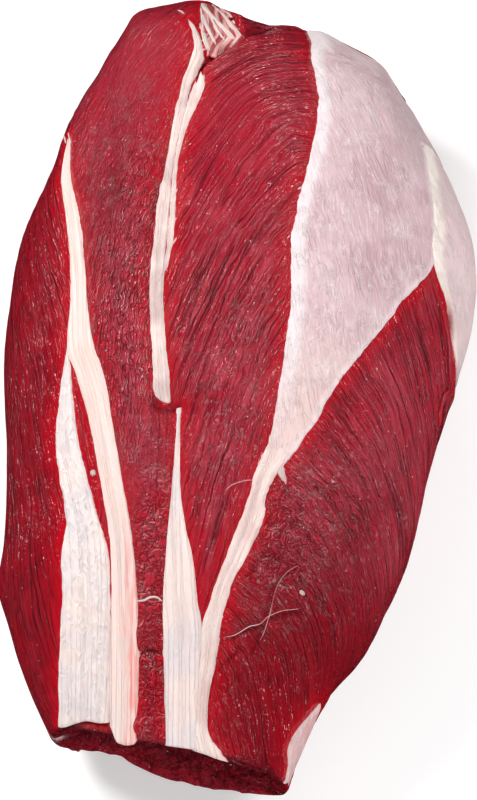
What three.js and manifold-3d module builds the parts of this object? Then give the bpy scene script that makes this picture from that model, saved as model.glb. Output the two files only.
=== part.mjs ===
// A boneless beef shank: one block of lean muscle with its tendons, seam tissue and silverskin.
// It lies on its inner side. +Y runs along the muscles, from the cut tendon end to the thick far end,
// +X is to the right seen from above with the tendon end near, and +Z is up. Lengths are in millimetres.
import * as THREE from "three";
import { mergeVertices } from "three/addons/utils/BufferGeometryUtils.js";
import Module from "manifold-3d";

const wasm = await Module();
wasm.setup();

// Driving dimensions
const GAP = 0.3; // clear space between two solids that touch in the real piece
const RINGS = 30; // sections along the straight part of the meat
const END_RINGS = 9; // sections over the rounded far end
const TOP_COLUMNS = 36; // points across the upper half of a section
const FOLD = 3; // upper columns for each lower one
const UNDER_COLUMNS = TOP_COLUMNS / FOLD;
const TOP_FULLNESS = 2.35; // squareness of the upper half of a section, where 2 is an ellipse
const UNDER_FULLNESS = 2.7;
const FAR_ROUNDING = 0.2; // share of the length over which the far end rounds off
const FAR_BLUNTNESS = 2.4;

// Ribs: along is 0 at the tendon end and 1 at the far end, left and right are the flanks,
// rim is the height of the widest line, crown is the height of the top, and keel that of the underside.
const RIBS = [
  { along: 0.0, left: -57.9, right: 14.7, rim: 20, crown: 41.0, keel: 2 },
  { along: 0.06, left: -64.9, right: 20.4, rim: 24, crown: 47.9, keel: -1 },
  { along: 0.12, left: -70.4, right: 27.1, rim: 26, crown: 54.5, keel: -2 },
  { along: 0.2, left: -74.2, right: 40.7, rim: 27, crown: 61.7, keel: -3 },
  { along: 0.32, left: -73.8, right: 52.8, rim: 28, crown: 68.9, keel: -4 },
  { along: 0.46, left: -75.7, right: 60.7, rim: 29, crown: 74.9, keel: -4 },
  { along: 0.6, left: -75.5, right: 69.8, rim: 30, crown: 77.9, keel: -4 },
  { along: 0.72, left: -71.5, right: 76.7, rim: 31, crown: 77.5, keel: -3 },
  { along: 0.82, left: -63.2, right: 77.6, rim: 32, crown: 76.3, keel: -2 },
  { along: 0.92, left: -55.1, right: 68.5, rim: 33, crown: 70.5, keel: 2 },
  { along: 1.0, left: -42.5, right: 57.1, rim: 34, crown: 57.6, keel: 6 },
];

// Plan outlines of the two ends, as [across, along] points
const NEAR_END = [[-80, -106.4], [-57, -109.4], [-22, -118.3], [14, -125], [80, -143]];
const FAR_END = [
  [-60, 116.2], [-42, 129], [-36, 139.4], [-24, 142.9], [-11, 143.8], [-3, 139.5],
  [5, 136.2], [9, 134.4], [17, 133.8], [28, 131], [42, 124], [49, 119], [57, 107], [80, 90.5],
];

// Seams between the muscles seen from above, as [along, across] points
const LEFT_SEAM = [
  [-112, -41], [-75, -41], [-55, -42], [-40, -43.5], [-25, -45], [-10, -47.5],
  [5, -49], [30, -50.5], [60, -54], [85, -55.5], [120, -56],
];
const MIDDLE_SEAM = [
  [-118, -22], [-75, -22.5], [-40, -19.5], [-20, -18], [-8, -23], [4, -24.5],
  [30, -24.5], [60, -21], [88, -15.5], [97, -13], [105, -8], [112, 0], [118, 7], [130, 9],
];
const RIGHT_SEAM = [
  [-118, -8], [-84, -6.5], [-74, -6], [-60, -1], [-45, 5], [-33, 9],
  [-9, 13.5], [22, 16.5], [50, 19], [78, 26], [94, 25.5], [116, 23], [136, 22],
];

// How far each muscle swells above the plain section, as [along, height] points, from left to right
const SWELLS = [
  [[-112, 1.2], [120, 1.2]],
  [[-112, -2.6], [-75, -2.6], [-50, -1.0], [-20, 0.4], [10, 1.4], [60, 2.2], [130, 2.2]],
  [[-118, 0], [-86, 0], [-60, 1.4], [-25, 2.4], [40, 2.8], [130, 2.4]],
  [[-118, 1.4], [-40, 1.8], [30, 1.2], [130, 1.2]],
];
const SEAM_SINK = 0.9; // depth of the crease over a seam
const SEAM_WIDTH = 5;
// Hollow under the fan of tissue at the far end
const VALLEY = { x: -6, y: 116, width: 6, length: 15, depth: 3.2 };

// The cut face at the tendon end
const CUT_LEAN = 0.015; // share of the length by which the top of the cut lies further in
const LIP_LENGTH = 0.008; // share of the length over which the lip rounds over
const LIP_SHRINK = 0.975; // size of the cut outline against the section just behind it
const CUT_RINGS = [[0.9, 1.2], [0.7, 3.0], [0.42, 2.2], [0.18, 3.2]]; // share of the radius, depth there
const CUT_BUMP = 1.1; // height of the ends of the muscle bundles
const BUNDLE = 3.5; // size of a bundle

// Edges of the straps of tendon seen from above, as [along, across] points
const UPPER_BAND = {
  left: [
    [-114, -38.8], [-100, -40.6], [-75, -39], [-61, -38.9], [-50, -39.6], [-37, -42.3], [-25, -44.6],
    [-12, -47.7], [0, -53.2], [20, -52.2], [34, -52.6], [50, -54.6], [66, -56.9], [84, -56],
  ],
  right: [
    [-114, -31.5], [-90, -30.1], [-62, -31.5], [-38, -35.4], [-8, -41.1],
    [6, -45], [32, -48.5], [48, -50.5], [64, -53.7], [84, -54.8],
  ],
  from: -113.5,
  to: 84,
};
const OUTER_STRAP = {
  left: [
    [-107, -55.2], [-90, -54.6], [-72, -53.5], [-60, -53.9], [-50, -52.5],
    [-37, -54.3], [-24, -56.1], [-10, -54.9], [5, -53.4],
  ],
  right: [
    [-108, -40.6], [-75, -38.6], [-60, -39.2], [-50, -42.7],
    [-37, -46.3], [-25, -49.1], [-12, -50.9], [5, -50.5],
  ],
  from: -107.5,
  to: 4,
};
const LEFT_ARM = {
  left: [[-118, -21.6], [-105, -22.2], [-83, -22.8], [-62, -21.9], [-45, -20.3], [-27, -18.9], [-18, -18.2]],
  right: [
    [-118, -6.8], [-107, -8.9], [-91, -6.8], [-83, -6.6], [-79, -10.2],
    [-74, -12.5], [-62, -14.4], [-51, -16.5], [-39, -17.4], [-27, -17.2], [-18, -17],
  ],
  from: -114.5,
  to: -18,
  slant: -4.5,
};
const RIGHT_ARM = {
  left: [[-95, -12], [-80, -10.4], [-68, -6], [-57, -2], [-45, 3.1], [-33, 6.8]],
  right: [
    [-118, -6.8], [-107, -8.9], [-91, -6.8], [-80, -5.3], [-68, -1.5],
    [-62.7, 1.8], [-51, 7.3], [-45, 7.8], [-39, 9.8], [-33, 14.7],
  ],
  from: -94,
  to: -34.4,
};
const SEAM_BAND = {
  left: [
    [-15.4, -23.5], [-8, -25.8], [4, -26.9], [17, -27.5], [30, -27.2], [50, -24.8],
    [71, -22], [93, -17.5], [105, -14.7], [114, -14.5], [127, -12.8], [134, -11.9],
  ],
  right: [
    [-15.4, -20.9], [-2, -21.7], [16, -23.3], [30, -21.9], [37, -20.2], [50, -20], [64, -19], [78, -15.9],
    [85, -13], [92, -11], [100, -10], [106, -5.3], [112, -1.1], [118, 0.5], [126, -1.5], [134, -4.3],
  ],
  from: -15.4,
  to: 134,
};

// Edges of the broad sheets, as [along share, turn] points, where turn 0 is the right flank.
// The membrane on the flank lies over the edge of the silverskin.
const SHARED_EDGE = [
  [0.718, 0.1125], [0.776, 0.118], [0.832, 0.1205], [0.87, 0.112], [0.91, 0.1], [0.935, 0.088], [0.975, 0.08],
];
const SILVERSKIN = {
  left: [
    [0.35, 0.2095], [0.376, 0.2055], [0.425, 0.2018], [0.474, 0.2015], [0.549, 0.2037], [0.625, 0.2098],
    [0.679, 0.211], [0.765, 0.2087], [0.856, 0.2083], [0.89, 0.2093], [0.929, 0.206], [0.975, 0.204],
  ],
  right: [
    [0.35, 0.1915], [0.412, 0.1716], [0.44, 0.1663], [0.503, 0.1515],
    [0.577, 0.1337], [0.619, 0.128], [0.678, 0.119], ...SHARED_EDGE,
  ],
  from: 0.3535,
  to: 0.972,
};
const MEMBRANE = {
  left: [[0.6, 0.02], [0.612, 0.0373], [0.64, 0.0708], [0.683, 0.0922], ...SHARED_EDGE],
  right: [[0.6, 0.0], [0.63, -0.03], [0.7, -0.045], [0.85, -0.04], [0.93, -0.01]],
  from: 0.606,
  to: 0.93,
};
const HOCK_MEMBRANE = {
  left: [[0.0, 0.055], [0.025, 0.0653], [0.04, 0.082], [0.065, 0.078], [0.09, 0.056], [0.115, 0.03]],
  right: [[0.0, -0.02], [0.05, -0.045], [0.115, -0.01]],
  from: 0.004,
  to: 0.112,
};

// For each kind of band: thickness below the skin, rise above it, stations along and columns across,
// crowding of the stations to the far end, the length of one unit along, and whether it is drawn over the skin
const STRAP_FORM = { depth: 2.2, rise: 0.9, rows: 20, columns: 4, crowding: 1, unit: 1, overSkin: false };
const SEAM_FORM = { depth: 1.6, rise: 0.6, rows: 22, columns: 3, crowding: 1, unit: 1, overSkin: false };
const SCRAP_FORM = { depth: 1.2, rise: 0.6, rows: 8, columns: 4, crowding: 1, unit: 250, overSkin: true };
const SHEET_FORM = { depth: 1.1, rise: 0.5, rows: 20, columns: 7, crowding: 1.35, unit: 250, overSkin: true };
const SLANT_LENGTH = 14; // length over which a slanting end straightens out
const ROOM_HEIGHT = 1.6; // how far the room cut for a band reaches above the skin
const SIDE_ROOM = 1.3; // width of that room beside a band, in gaps

// A smooth curve through [position, value] points, level beyond its two ends
function smooth(points) {
  const slope = points.map(([x, y], i) => {
    const before = points[Math.max(i - 1, 0)];
    const after = points[Math.min(i + 1, points.length - 1)];
    return (after[1] - before[1]) / (after[0] - before[0]);
  });
  return (x) => {
    let i = 0;
    while (i < points.length - 2 && x > points[i + 1][0]) i++;
    const [x0, y0] = points[i];
    const [x1, y1] = points[i + 1];
    const run = x1 - x0;
    const s = THREE.MathUtils.clamp((x - x0) / run, 0, 1);
    const a = 1 - s;
    return (
      y0 * a * a * (1 + 2 * s) + y1 * s * s * (3 - 2 * s) +
      run * (slope[i] * a * a * s - slope[i + 1] * a * s * s)
    );
  };
}

const rib = Object.fromEntries(
  ["left", "right", "rim", "crown", "keel"].map((name) => [name, smooth(RIBS.map((r) => [r.along, r[name]]))]),
);
const nearEnd = smooth(NEAR_END);
const farEnd = smooth(FAR_END);
const seams = [LEFT_SEAM, MIDDLE_SEAM, RIGHT_SEAM].map(smooth);
const swells = SWELLS.map(smooth);

// How full a section still is as the far end rounds off
function farTaper(along) {
  const past = Math.max(0, (along - 1 + FAR_ROUNDING) / FAR_ROUNDING);
  return Math.sqrt(Math.max(0, 1 - past ** FAR_BLUNTNESS));
}

// Swelling of the muscles and the creases between them, as a height over the plain section
function relief(x, y, along) {
  const edges = [rib.left(along), ...seams.map((seam) => seam(y)), rib.right(along)];
  for (let i = 1; i < edges.length; i++) edges[i] = Math.max(edges[i], edges[i - 1] + 1);
  let i = 0;
  while (i < edges.length - 2 && x > edges[i + 1]) i++;
  const share = (2 * (x - edges[i])) / (edges[i + 1] - edges[i]) - 1;
  let height = swells[i](y) * Math.max(0, 1 - share * share);
  for (const edge of edges.slice(1, -1)) height -= SEAM_SINK * Math.exp(-(((x - edge) / SEAM_WIDTH) ** 2));
  const hollow = ((x - VALLEY.x) / VALLEY.width) ** 2 + (Math.min(0, y - VALLEY.y) / VALLEY.length) ** 2;
  height -= VALLEY.depth * Math.exp(-hollow);
  return height * farTaper(along);
}

// A point of the skin: along from 0 to 1, and turn from 0 at the right flank over the top to 0.5 at the left
function skin(along, turn) {
  const left = rib.left(along);
  const right = rib.right(along);
  const angle = turn * 2 * Math.PI;
  const c = Math.cos(angle);
  const s = Math.sin(angle);
  const upper = s >= 0;
  const fullness = upper ? TOP_FULLNESS : UNDER_FULLNESS;
  const reach = (Math.abs(c) ** fullness + Math.abs(s) ** fullness) ** (-1 / fullness);
  const x = (left + right) / 2 + ((right - left) / 2) * c * reach;
  const y = nearEnd(x) * (1 - along) + farEnd(x) * along;
  const rim = rib.rim(along);
  const height = (upper ? rib.crown(along) - rim : rim - rib.keel(along)) * farTaper(along);
  const z = rim + height * s * reach + (upper ? relief(x, y, along) : 0);
  return new THREE.Vector3(x, y, Math.max(z, 0));
}

// The place on the skin of a point seen from above
function placeOf(x, y) {
  const along = (y - nearEnd(x)) / (farEnd(x) - nearEnd(x));
  const left = rib.left(along);
  const right = rib.right(along);
  const across = THREE.MathUtils.clamp((2 * x - left - right) / (right - left), -1, 1);
  const up = (1 - Math.abs(across) ** TOP_FULLNESS) ** (1 / TOP_FULLNESS);
  return [along, Math.atan2(up, across) / (2 * Math.PI)];
}

// A point above or below the skin, measured square to it
function lifted(along, turn, height) {
  const step = 0.004;
  const forward = skin(along + step, turn).sub(skin(along - step, turn));
  const round = skin(along, turn + step).sub(skin(along, turn - step));
  return skin(along, turn).addScaledVector(forward.cross(round).normalize(), height);
}

// A closed solid from rings of points. Each end is closed by a cap function, which is given
// the points and the loop of the end ring in the order that faces outward.
function closedRings(rings, nearCap, farCap) {
  const count = rings[0].length;
  const last = rings.length - 1;
  const points = rings.flat();
  const at = (ring, column) => ring * count + (column % count);
  const faces = [];
  for (let i = 0; i < last; i++) {
    for (let j = 0; j < count; j++) {
      faces.push(at(i, j), at(i + 1, j), at(i + 1, j + 1));
      faces.push(at(i, j), at(i + 1, j + 1), at(i, j + 1));
    }
  }
  const nearLoop = rings[0].map((_, j) => at(0, j));
  const farLoop = rings[last].map((_, j) => at(last, j)).reverse();
  faces.push(...nearCap(nearLoop, points), ...farCap(farLoop, points));
  return solidOf(points, faces);
}

// A cap of triangles about the middle of the loop
function fanCap(loop, points) {
  const middle = points.push(middleOf(loop.map((index) => points[index]))) - 1;
  return loop.flatMap((index, j) => [middle, index, loop[(j + 1) % loop.length]]);
}

// A cap of squares between the two long sides of a thin loop
function stripCap(loop) {
  const end = loop.length - 1;
  const faces = [];
  for (let j = 0; j < end / 2 - 1; j++) {
    faces.push(loop[j], loop[j + 1], loop[end - 1 - j], loop[j], loop[end - 1 - j], loop[end - j]);
  }
  return faces;
}

// A cap for the far end, where the lower points of the ring lie on every third upper point
function foldCap(loop) {
  const upper = (j) => loop[loop.length - 1 - j];
  const faces = [];
  for (let j = TOP_COLUMNS; j > 0; j -= FOLD) {
    for (let i = 1; i < FOLD; i++) faces.push(upper(j), upper(j - i), upper(j - i - 1));
  }
  return faces;
}

// A solid from points and triangles, with equal points merged
function solidOf(points, faces) {
  const geometry = new THREE.BufferGeometry().setFromPoints(points);
  geometry.setIndex(faces);
  const merged = mergeVertices(geometry, 1e-3);
  const corners = [];
  for (let i = 0; i < merged.index.count; i += 3) {
    const [a, b, c] = [0, 1, 2].map((k) => merged.index.getX(i + k));
    if (a !== b && b !== c && a !== c) corners.push(a, b, c);
  }
  const solid = new wasm.Manifold(
    new wasm.Mesh({
      numProp: 3,
      vertProperties: merged.attributes.position.array,
      triVerts: new Uint32Array(corners),
    }),
  );
  if (solid.volume() < 0) throw new Error("a solid is inside out");
  return solid;
}

// The mean of some points
function middleOf(ring) {
  return ring.reduce((sum, p) => sum.add(p), new THREE.Vector3()).divideScalar(ring.length);
}

// The whole block of meat before room is cut for the tissues
function meatBody() {
  const turns = [];
  for (let j = 0; j < TOP_COLUMNS; j++) turns.push((0.5 * j) / TOP_COLUMNS);
  for (let j = 0; j < UNDER_COLUMNS; j++) turns.push(0.5 + (0.5 * j) / UNDER_COLUMNS);
  const stations = [];
  for (let i = 0; i < RINGS; i++) stations.push(((1 - FAR_ROUNDING) * i) / RINGS);
  for (let i = 0; i < END_RINGS; i++) {
    const past = Math.sin((Math.PI / 2) * (i / END_RINGS)) ** (2 / FAR_BLUNTNESS);
    stations.push(1 - FAR_ROUNDING + FAR_ROUNDING * past);
  }
  stations.push(1);

  // The cut face leans, with a rounded lip about a hollow face
  const lean = turns.map((turn) => CUT_LEAN * Math.max(0, Math.sin(2 * Math.PI * turn)));
  const rings = stations.map((along) => turns.map((turn, j) => skin(lean[j] + (1 - lean[j]) * along, turn)));
  const middle = middleOf(rings[0]);
  const lip = rings[0].map((p) => middle.clone().lerp(p, LIP_SHRINK));
  const face = CUT_RINGS.map(([share, hollow]) =>
    lip.map((p, j) => {
      const point = middle.clone().lerp(p, share);
      point.y += hollow + CUT_BUMP * Math.sin(point.x / BUNDLE) * Math.cos(point.z / BUNDLE);
      return point;
    }),
  );
  const behindLip = turns.map((turn, j) => skin(lean[j] + LIP_LENGTH, turn));
  rings.splice(0, 1, ...face.reverse(), lip, behindLip);

  // At the far end the upper and lower halves close on one line
  const fold = rings[rings.length - 1];
  for (let k = 0; k < UNDER_COLUMNS; k++) fold[TOP_COLUMNS + k].copy(fold[TOP_COLUMNS - k * FOLD]);
  return closedRings(rings, fanCap, foldCap);
}

// The place on the skin where an edge of a band lies at a station
function edgeOf(curve, form) {
  const edge = smooth(curve);
  return (station) => (form.overSkin ? [station, edge(station)] : placeOf(edge(station), station));
}

// A band lying in the skin between two edges. A positive margin gives the room to cut for it instead.
function band(shape, form, margin) {
  const left = edgeOf(shape.left, form);
  const right = edgeOf(shape.right, form);
  const length = shape.to - shape.from;
  const stations = [];
  for (let i = 0; i <= form.rows; i++) stations.push(shape.to - length * (1 - i / form.rows) ** form.crowding);
  const shares = [];
  for (let j = 0; j <= form.columns; j++) shares.push(j / form.columns);
  if (margin > 0) {
    stations.unshift(shape.from - (2 * margin) / form.unit);
    stations.push(shape.to + (2 * margin) / form.unit);
  }
  const rings = stations.map((station) => {
    const fade = Math.max(0, 1 - ((station - shape.from) * form.unit) / SLANT_LENGTH);
    const a = left(station);
    const b = right(station + (shape.slant ?? 0) * fade);
    const spot = (share) => [a[0] + (b[0] - a[0]) * share, a[1] + (b[1] - a[1]) * share];
    const pace = (share) => skin(...spot(share - 0.05)).distanceTo(skin(...spot(share + 0.05))) / 0.1;
    const wider = SIDE_ROOM * margin;
    const across = margin > 0 ? [-wider / pace(0), ...shares, 1 + wider / pace(1)] : shares;
    const rise = (share) => (margin > 0 ? ROOM_HEIGHT : form.rise * (1 - Math.abs(2 * share - 1) ** 3));
    const top = across.map((share) => lifted(...spot(share), rise(share)));
    const under = across.map((share) => lifted(...spot(share), -form.depth - margin));
    return [...top.reverse(), ...under];
  });
  return closedRings(rings, stripCap, stripCap);
}

// A mesh with its own material from a solid
function meshOf(name, solid, colour, roughness) {
  const { vertProperties, triVerts } = solid.getMesh();
  const geometry = new THREE.BufferGeometry();
  geometry.setAttribute("position", new THREE.BufferAttribute(new Float32Array(vertProperties), 3));
  geometry.setIndex([...triVerts]);
  geometry.computeVertexNormals();
  const material = new THREE.MeshStandardMaterial({ color: colour, roughness, metalness: 0 });
  const mesh = new THREE.Mesh(geometry, material);
  mesh.name = name;
  return mesh;
}

// A solid with the rooms of its neighbours cut away
function clearOf(solid, rooms) {
  return rooms.reduce((left, room) => left.subtract(room), solid);
}

// A named piece of tissue made of one or more bands, with the rooms it needs in its neighbours
function tissue(name, shapes, form, colour, roughness, neighbours = []) {
  const bands = shapes.map((shape) => band(shape, form, 0)).reduce((all, piece) => all.add(piece));
  const solid = clearOf(bands, neighbours);
  return { mesh: meshOf(name, solid, colour, roughness), rooms: shapes.map((shape) => band(shape, form, GAP)) };
}

const tendonLeft = tissue("tendon_left", [UPPER_BAND, OUTER_STRAP], STRAP_FORM, 0xeddcd6, 0.42);
const tendonCentre = tissue("tendon_centre", [LEFT_ARM, RIGHT_ARM], STRAP_FORM, 0xeed8d4, 0.42);
const seamTissue = tissue("seam_tissue", [SEAM_BAND], SEAM_FORM, 0xe4c5c3, 0.45);
const flankMembrane = tissue("flank_membrane", [MEMBRANE], SHEET_FORM, 0xe4cac8, 0.38);
const silverskin = tissue("silverskin", [SILVERSKIN], SHEET_FORM, 0xdfc4c7, 0.38, flankMembrane.rooms);
const hockMembrane = tissue("hock_membrane", [HOCK_MEMBRANE], SCRAP_FORM, 0xd49c9b, 0.42);
const tissues = [tendonLeft, tendonCentre, seamTissue, silverskin, flankMembrane, hockMembrane];
const meat = clearOf(meatBody(), tissues.flatMap((piece) => piece.rooms));

const shank = new THREE.Group();
shank.add(meshOf("lean_meat", meat, 0x96202c, 0.4), ...tissues.map((piece) => piece.mesh));

// The origin lies under the middle of the shank, in the plane it rests on
const bounds = new THREE.Box3().setFromObject(shank);
const middle = bounds.getCenter(new THREE.Vector3());
for (const mesh of shank.children) mesh.geometry.translate(-middle.x, -middle.y, -bounds.min.z);

export default shank;
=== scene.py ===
"""A boneless beef shank lying on a pale table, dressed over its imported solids.

The shape is worked out in millimetres in the shank's own plan, with +Y along the muscles, +X to the
right and +Z up, and goes to metres and to the frame's place when a mesh is made.
"""

import math

import bmesh
import bpy
import numpy as np
from bpy.props import FloatProperty, FloatVectorProperty, PointerProperty
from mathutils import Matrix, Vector, noise


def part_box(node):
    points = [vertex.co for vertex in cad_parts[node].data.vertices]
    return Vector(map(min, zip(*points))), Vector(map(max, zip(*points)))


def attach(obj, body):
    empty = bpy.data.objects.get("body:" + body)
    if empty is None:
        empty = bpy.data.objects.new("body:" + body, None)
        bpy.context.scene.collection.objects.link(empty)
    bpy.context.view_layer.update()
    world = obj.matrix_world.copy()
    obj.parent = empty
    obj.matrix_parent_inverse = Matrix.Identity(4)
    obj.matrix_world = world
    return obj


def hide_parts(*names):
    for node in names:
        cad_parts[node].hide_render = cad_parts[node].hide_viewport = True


bl_info = {
    "name": "Beef shank",
    "version": (1, 0, 0),
    "blender": (4, 5, 0),
    "location": "View3D > Sidebar > Shank",
    "description": "Makes a boneless beef shank with its tendons, seam and silverskin",
    "category": "Add Mesh",
}

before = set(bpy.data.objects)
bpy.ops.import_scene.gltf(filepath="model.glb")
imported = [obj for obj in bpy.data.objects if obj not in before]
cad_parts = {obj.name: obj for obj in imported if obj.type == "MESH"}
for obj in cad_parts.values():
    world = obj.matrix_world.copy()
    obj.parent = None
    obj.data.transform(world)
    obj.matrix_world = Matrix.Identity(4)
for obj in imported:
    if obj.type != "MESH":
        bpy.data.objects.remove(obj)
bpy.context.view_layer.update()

MM = 0.001
BODY = "root"

# The skin of the block, as in the solids
TOP_FULLNESS = 2.35
UNDER_FULLNESS = 2.7
FAR_ROUNDING = 0.2
FAR_BLUNTNESS = 2.4
# along, left flank, right flank, height of the widest line, crown, keel
RIBS = [
    (0.0, -57.9, 14.7, 20, 41.0, 2), (0.06, -64.9, 20.4, 24, 47.9, -1), (0.12, -70.4, 27.1, 26, 54.5, -2),
    (0.2, -74.2, 40.7, 27, 61.7, -3), (0.32, -73.8, 52.8, 28, 68.9, -4), (0.46, -75.7, 60.7, 29, 74.9, -4),
    (0.6, -75.5, 69.8, 30, 77.9, -4), (0.72, -71.5, 76.7, 31, 77.5, -3), (0.82, -63.2, 77.6, 32, 76.3, -2),
    (0.92, -55.1, 68.5, 33, 70.5, 2), (1.0, -42.5, 57.1, 34, 57.6, 6),
]
NEAR_END = [(-80, -106.4), (-57, -109.4), (-22, -118.3), (14, -125), (80, -143)]
FAR_END = [
    (-60, 116.2), (-42, 129), (-36, 139.4), (-24, 142.9), (-11, 143.8), (-3, 139.5), (5, 136.2), (9, 134.4),
    (17, 133.8), (28, 131), (42, 124), (49, 119), (57, 107), (80, 90.5),
]
LEFT_SEAM = [
    (-112, -41), (-75, -41), (-55, -42), (-40, -43.5), (-25, -45), (-10, -47.5), (5, -49), (30, -50.5),
    (60, -54), (85, -55.5), (120, -56),
]
MIDDLE_SEAM = [
    (-118, -22), (-75, -22.5), (-40, -19.5), (-20, -18), (-8, -23), (4, -24.5), (30, -24.5), (60, -21),
    (88, -15.5), (97, -13), (105, -8), (112, 0), (118, 7), (130, 9),
]
RIGHT_SEAM = [
    (-118, -8), (-84, -6.5), (-74, -6), (-60, -1), (-45, 5), (-33, 9), (-9, 13.5), (22, 16.5), (50, 19),
    (78, 26), (94, 25.5), (116, 23), (136, 22),
]
SWELLS = [
    [(-112, 1.2), (120, 1.2)],
    [(-112, -2.6), (-75, -2.6), (-50, -1.0), (-20, 0.4), (10, 1.4), (60, 2.2), (130, 2.2)],
    [(-118, 0), (-86, 0), (-60, 1.4), (-25, 2.4), (40, 2.8), (130, 2.4)],
    [(-118, 1.4), (-40, 1.8), (30, 1.2), (130, 1.2)],
]
SEAM_SINK = 0.9
SEAM_WIDTH = 5
VALLEY = (-6, 116, 6, 15, 3.2)  # x, y, width, length, depth
CUT_LEAN = 0.015
LIP_LENGTH = 0.008
LIP_SHRINK = 0.975
CUT_HOLLOW = [(0, 3.4), (0.18, 3.2), (0.42, 2.2), (0.7, 3.0), (0.9, 1.2), (1, 0)]
# Folds of the cut face as (x, z) points, with their depth and width
CUT_FOLDS = [
    ([(-58, 22), (-42, 16), (-20, 12.5), (0, 12), (14, 15)], 3.4, 1.9),
    ([(-52, 31), (-36, 27), (-16, 24), (4, 26), (14, 27)], 2.4, 1.6),
    ([(-46, 36), (-30, 33.5), (-10, 34), (6, 35)], 1.6, 1.3),
]
# Lumps of the skin as (along, turn, wide, long, height)
LUMPS = [
    (0.2, 0.472, 4.5, 8, 1.6), (0.952, 0.272, 3.6, 6, 2.0), (0.128, 0.277, 3.0, 4.5, 0.9),
    (0.03, 0.286, 3.0, 2.6, 1.2),
]

# Which way the muscle fibres run, as (x, y, angle from +X in degrees), for each muscle
FIBRES = {
    "left_flank": [
        (-65, 33, 115), (-59, 33, 118), (-67, 1, 110), (-59, 1, 112), (-69, -30, 104), (-61, -30, 106),
        (-68, -61, 98), (-60, -61, 100), (-66, -91, 108), (-61, -107, 115),
    ],
    "upper_left": [
        (-39, 88, 60), (-27, 95, 55), (-46, 59, 62), (-33, 59, 62), (-26, 59, 75), (-44, 36, 70),
        (-32, 33, 78), (-39, 10, 88), (-30, 4, 92), (-35, -16, 92), (-27, -16, 88), (-28, -45, 90),
        (-28, -107, 90),
    ],
    "middle": [
        (-8, 85, 48), (3, 88, 25), (14, 85, -12), (22, 76, -62), (-12, 72, 52), (3, 72, 36), (16, 66, 38),
        (-17, 49, 66), (-3, 49, 52), (13, 49, 44), (-20, 17, 76), (-4, 17, 62), (12, 17, 54), (-17, -16, 80),
        (-3, -16, 70), (11, -16, 64), (-15, -45, 84), (-4, -45, 72), (3, -39, 66), (-11, -70, 80),
    ],
    "right_flank": [
        (61, 17, 112), (55, 7, 110), (45, -6, 120), (34, -19, 130), (26, -30, 146), (19, -36, 162),
        (16, -47, 176), (27, -45, 162), (39, -45, 146), (51, -39, 124), (57, -24, 112), (9, -64, 178),
        (17, -70, 162), (7, -81, 140), (28, -73, 148), (33, -61, 150), (45, -57, 134), (50, -51, 124),
        (40, -82, 116), (29, -101, 110), (3, -101, 95), (10, -114, 92), (16, -122, 98),
    ],
}
MUSCLES = list(FIBRES) + ["cut_face"]

# Straps and strands seen from above, as (y, x) points of their left and right edges
INNER_STRAP = {
    "left": [
        (-117, -38.6), (-100, -39.2), (-75, -38.6), (-61, -38.6), (-50, -39.4), (-37, -42.2),
        (-25, -44.6), (-12, -47.6), (-4, -50.2), (4, -53.0), (20, -52.2), (34, -52.6), (50, -54.6),
        (66, -56.9), (86, -55.8),
    ],
    "right": [
        (-117, -31.4), (-90, -30.1), (-62, -31.5), (-38, -35.4), (-8, -41.1), (6, -45), (32, -48.5),
        (48, -50.5), (64, -53.7), (86, -55.4),
    ],
}
OUTER_STRAP = {
    "left": [
        (-110, -55.2), (-90, -54.6), (-72, -53.5), (-60, -53.9), (-50, -52.5), (-37, -54.3), (-24, -56.1),
        (-10, -54.9), (6, -53.2),
    ],
    "right": [
        (-110, -39.1), (-90, -38.9), (-75, -38.8), (-60, -39.4), (-50, -42.6), (-37, -46.3), (-25, -49.1),
        (-12, -51.2), (6, -52.6),
    ],
}
LEFT_ARM = {
    "left": [
        (-119, -21.6), (-105, -22.2), (-83, -22.8), (-73.8, -22.7), (-67.9, -22.4), (-60.8, -21.9),
        (-53.3, -21.3), (-46.1, -20.6), (-38.6, -19.9), (-31, -19.2), (-23.4, -18.7), (-16, -18.3),
    ],
    "right": [
        (-119, -13.2), (-107, -12.4), (-91, -11.6), (-83, -11.0), (-79, -11.4), (-75.7, -12.2),
        (-68.5, -13.2), (-61.3, -14.4), (-53.8, -15.9), (-46.4, -17.1), (-38.7, -17.7), (-31.1, -17.8),
        (-23.5, -17.8), (-16, -17.8),
    ],
}
RIGHT_ARM = {
    "left": [
        (-119, -13.4), (-107, -12.6), (-91, -11.8), (-83, -11.2), (-79, -10.2), (-68, -6), (-57, -2),
        (-45, 3.1), (-33, 6.8), (-26, 10.6),
    ],
    "right": [
        (-120, -3.2), (-116, -5.9), (-112.8, -8.6), (-107.7, -9.6), (-99.8, -9.0), (-91, -6.8), (-80, -5.3),
        (-68, -1.5), (-62.7, 1.8), (-51, 7.3), (-45, 7.8), (-39, 9.8), (-33, 14.2), (-26, 15.6),
    ],
}
SEAM_STRAND = {
    "left": [
        (-16, -23.9), (-13, -25.5), (-8, -26.0), (4, -26.9), (17, -27.5), (30, -27.2), (50, -24.8),
        (71, -22), (93, -17.9), (100.4, -15.6), (106.7, -14.2), (111.4, -14.5), (117.3, -15.8),
        (122, -17.6),
    ],
    "right": [
        (-16, -20.8), (-2, -21.7), (16, -23.3), (30, -22.7), (37, -22.2), (50, -21.4), (64, -20.2),
        (78, -17.9), (92.8, -14.9), (98.3, -13.2), (103.2, -11.5), (107.9, -11.9), (112.6, -13.3),
        (117.3, -14.9), (122, -17.2),
    ],
}
SIDE_STRAND = {
    "left": [
        (26, -22.8), (37, -21.9), (50, -21.1), (64, -20.2), (78, -17.9), (88, -15.4), (92, -14.2),
        (97, -12.9),
    ],
    "right": [
        (26, -22.2), (37, -20.2), (50, -19.6), (64, -18.8), (78, -15.7), (85, -12.8), (92, -10.6),
        (97, -11.2),
    ],
}
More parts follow.
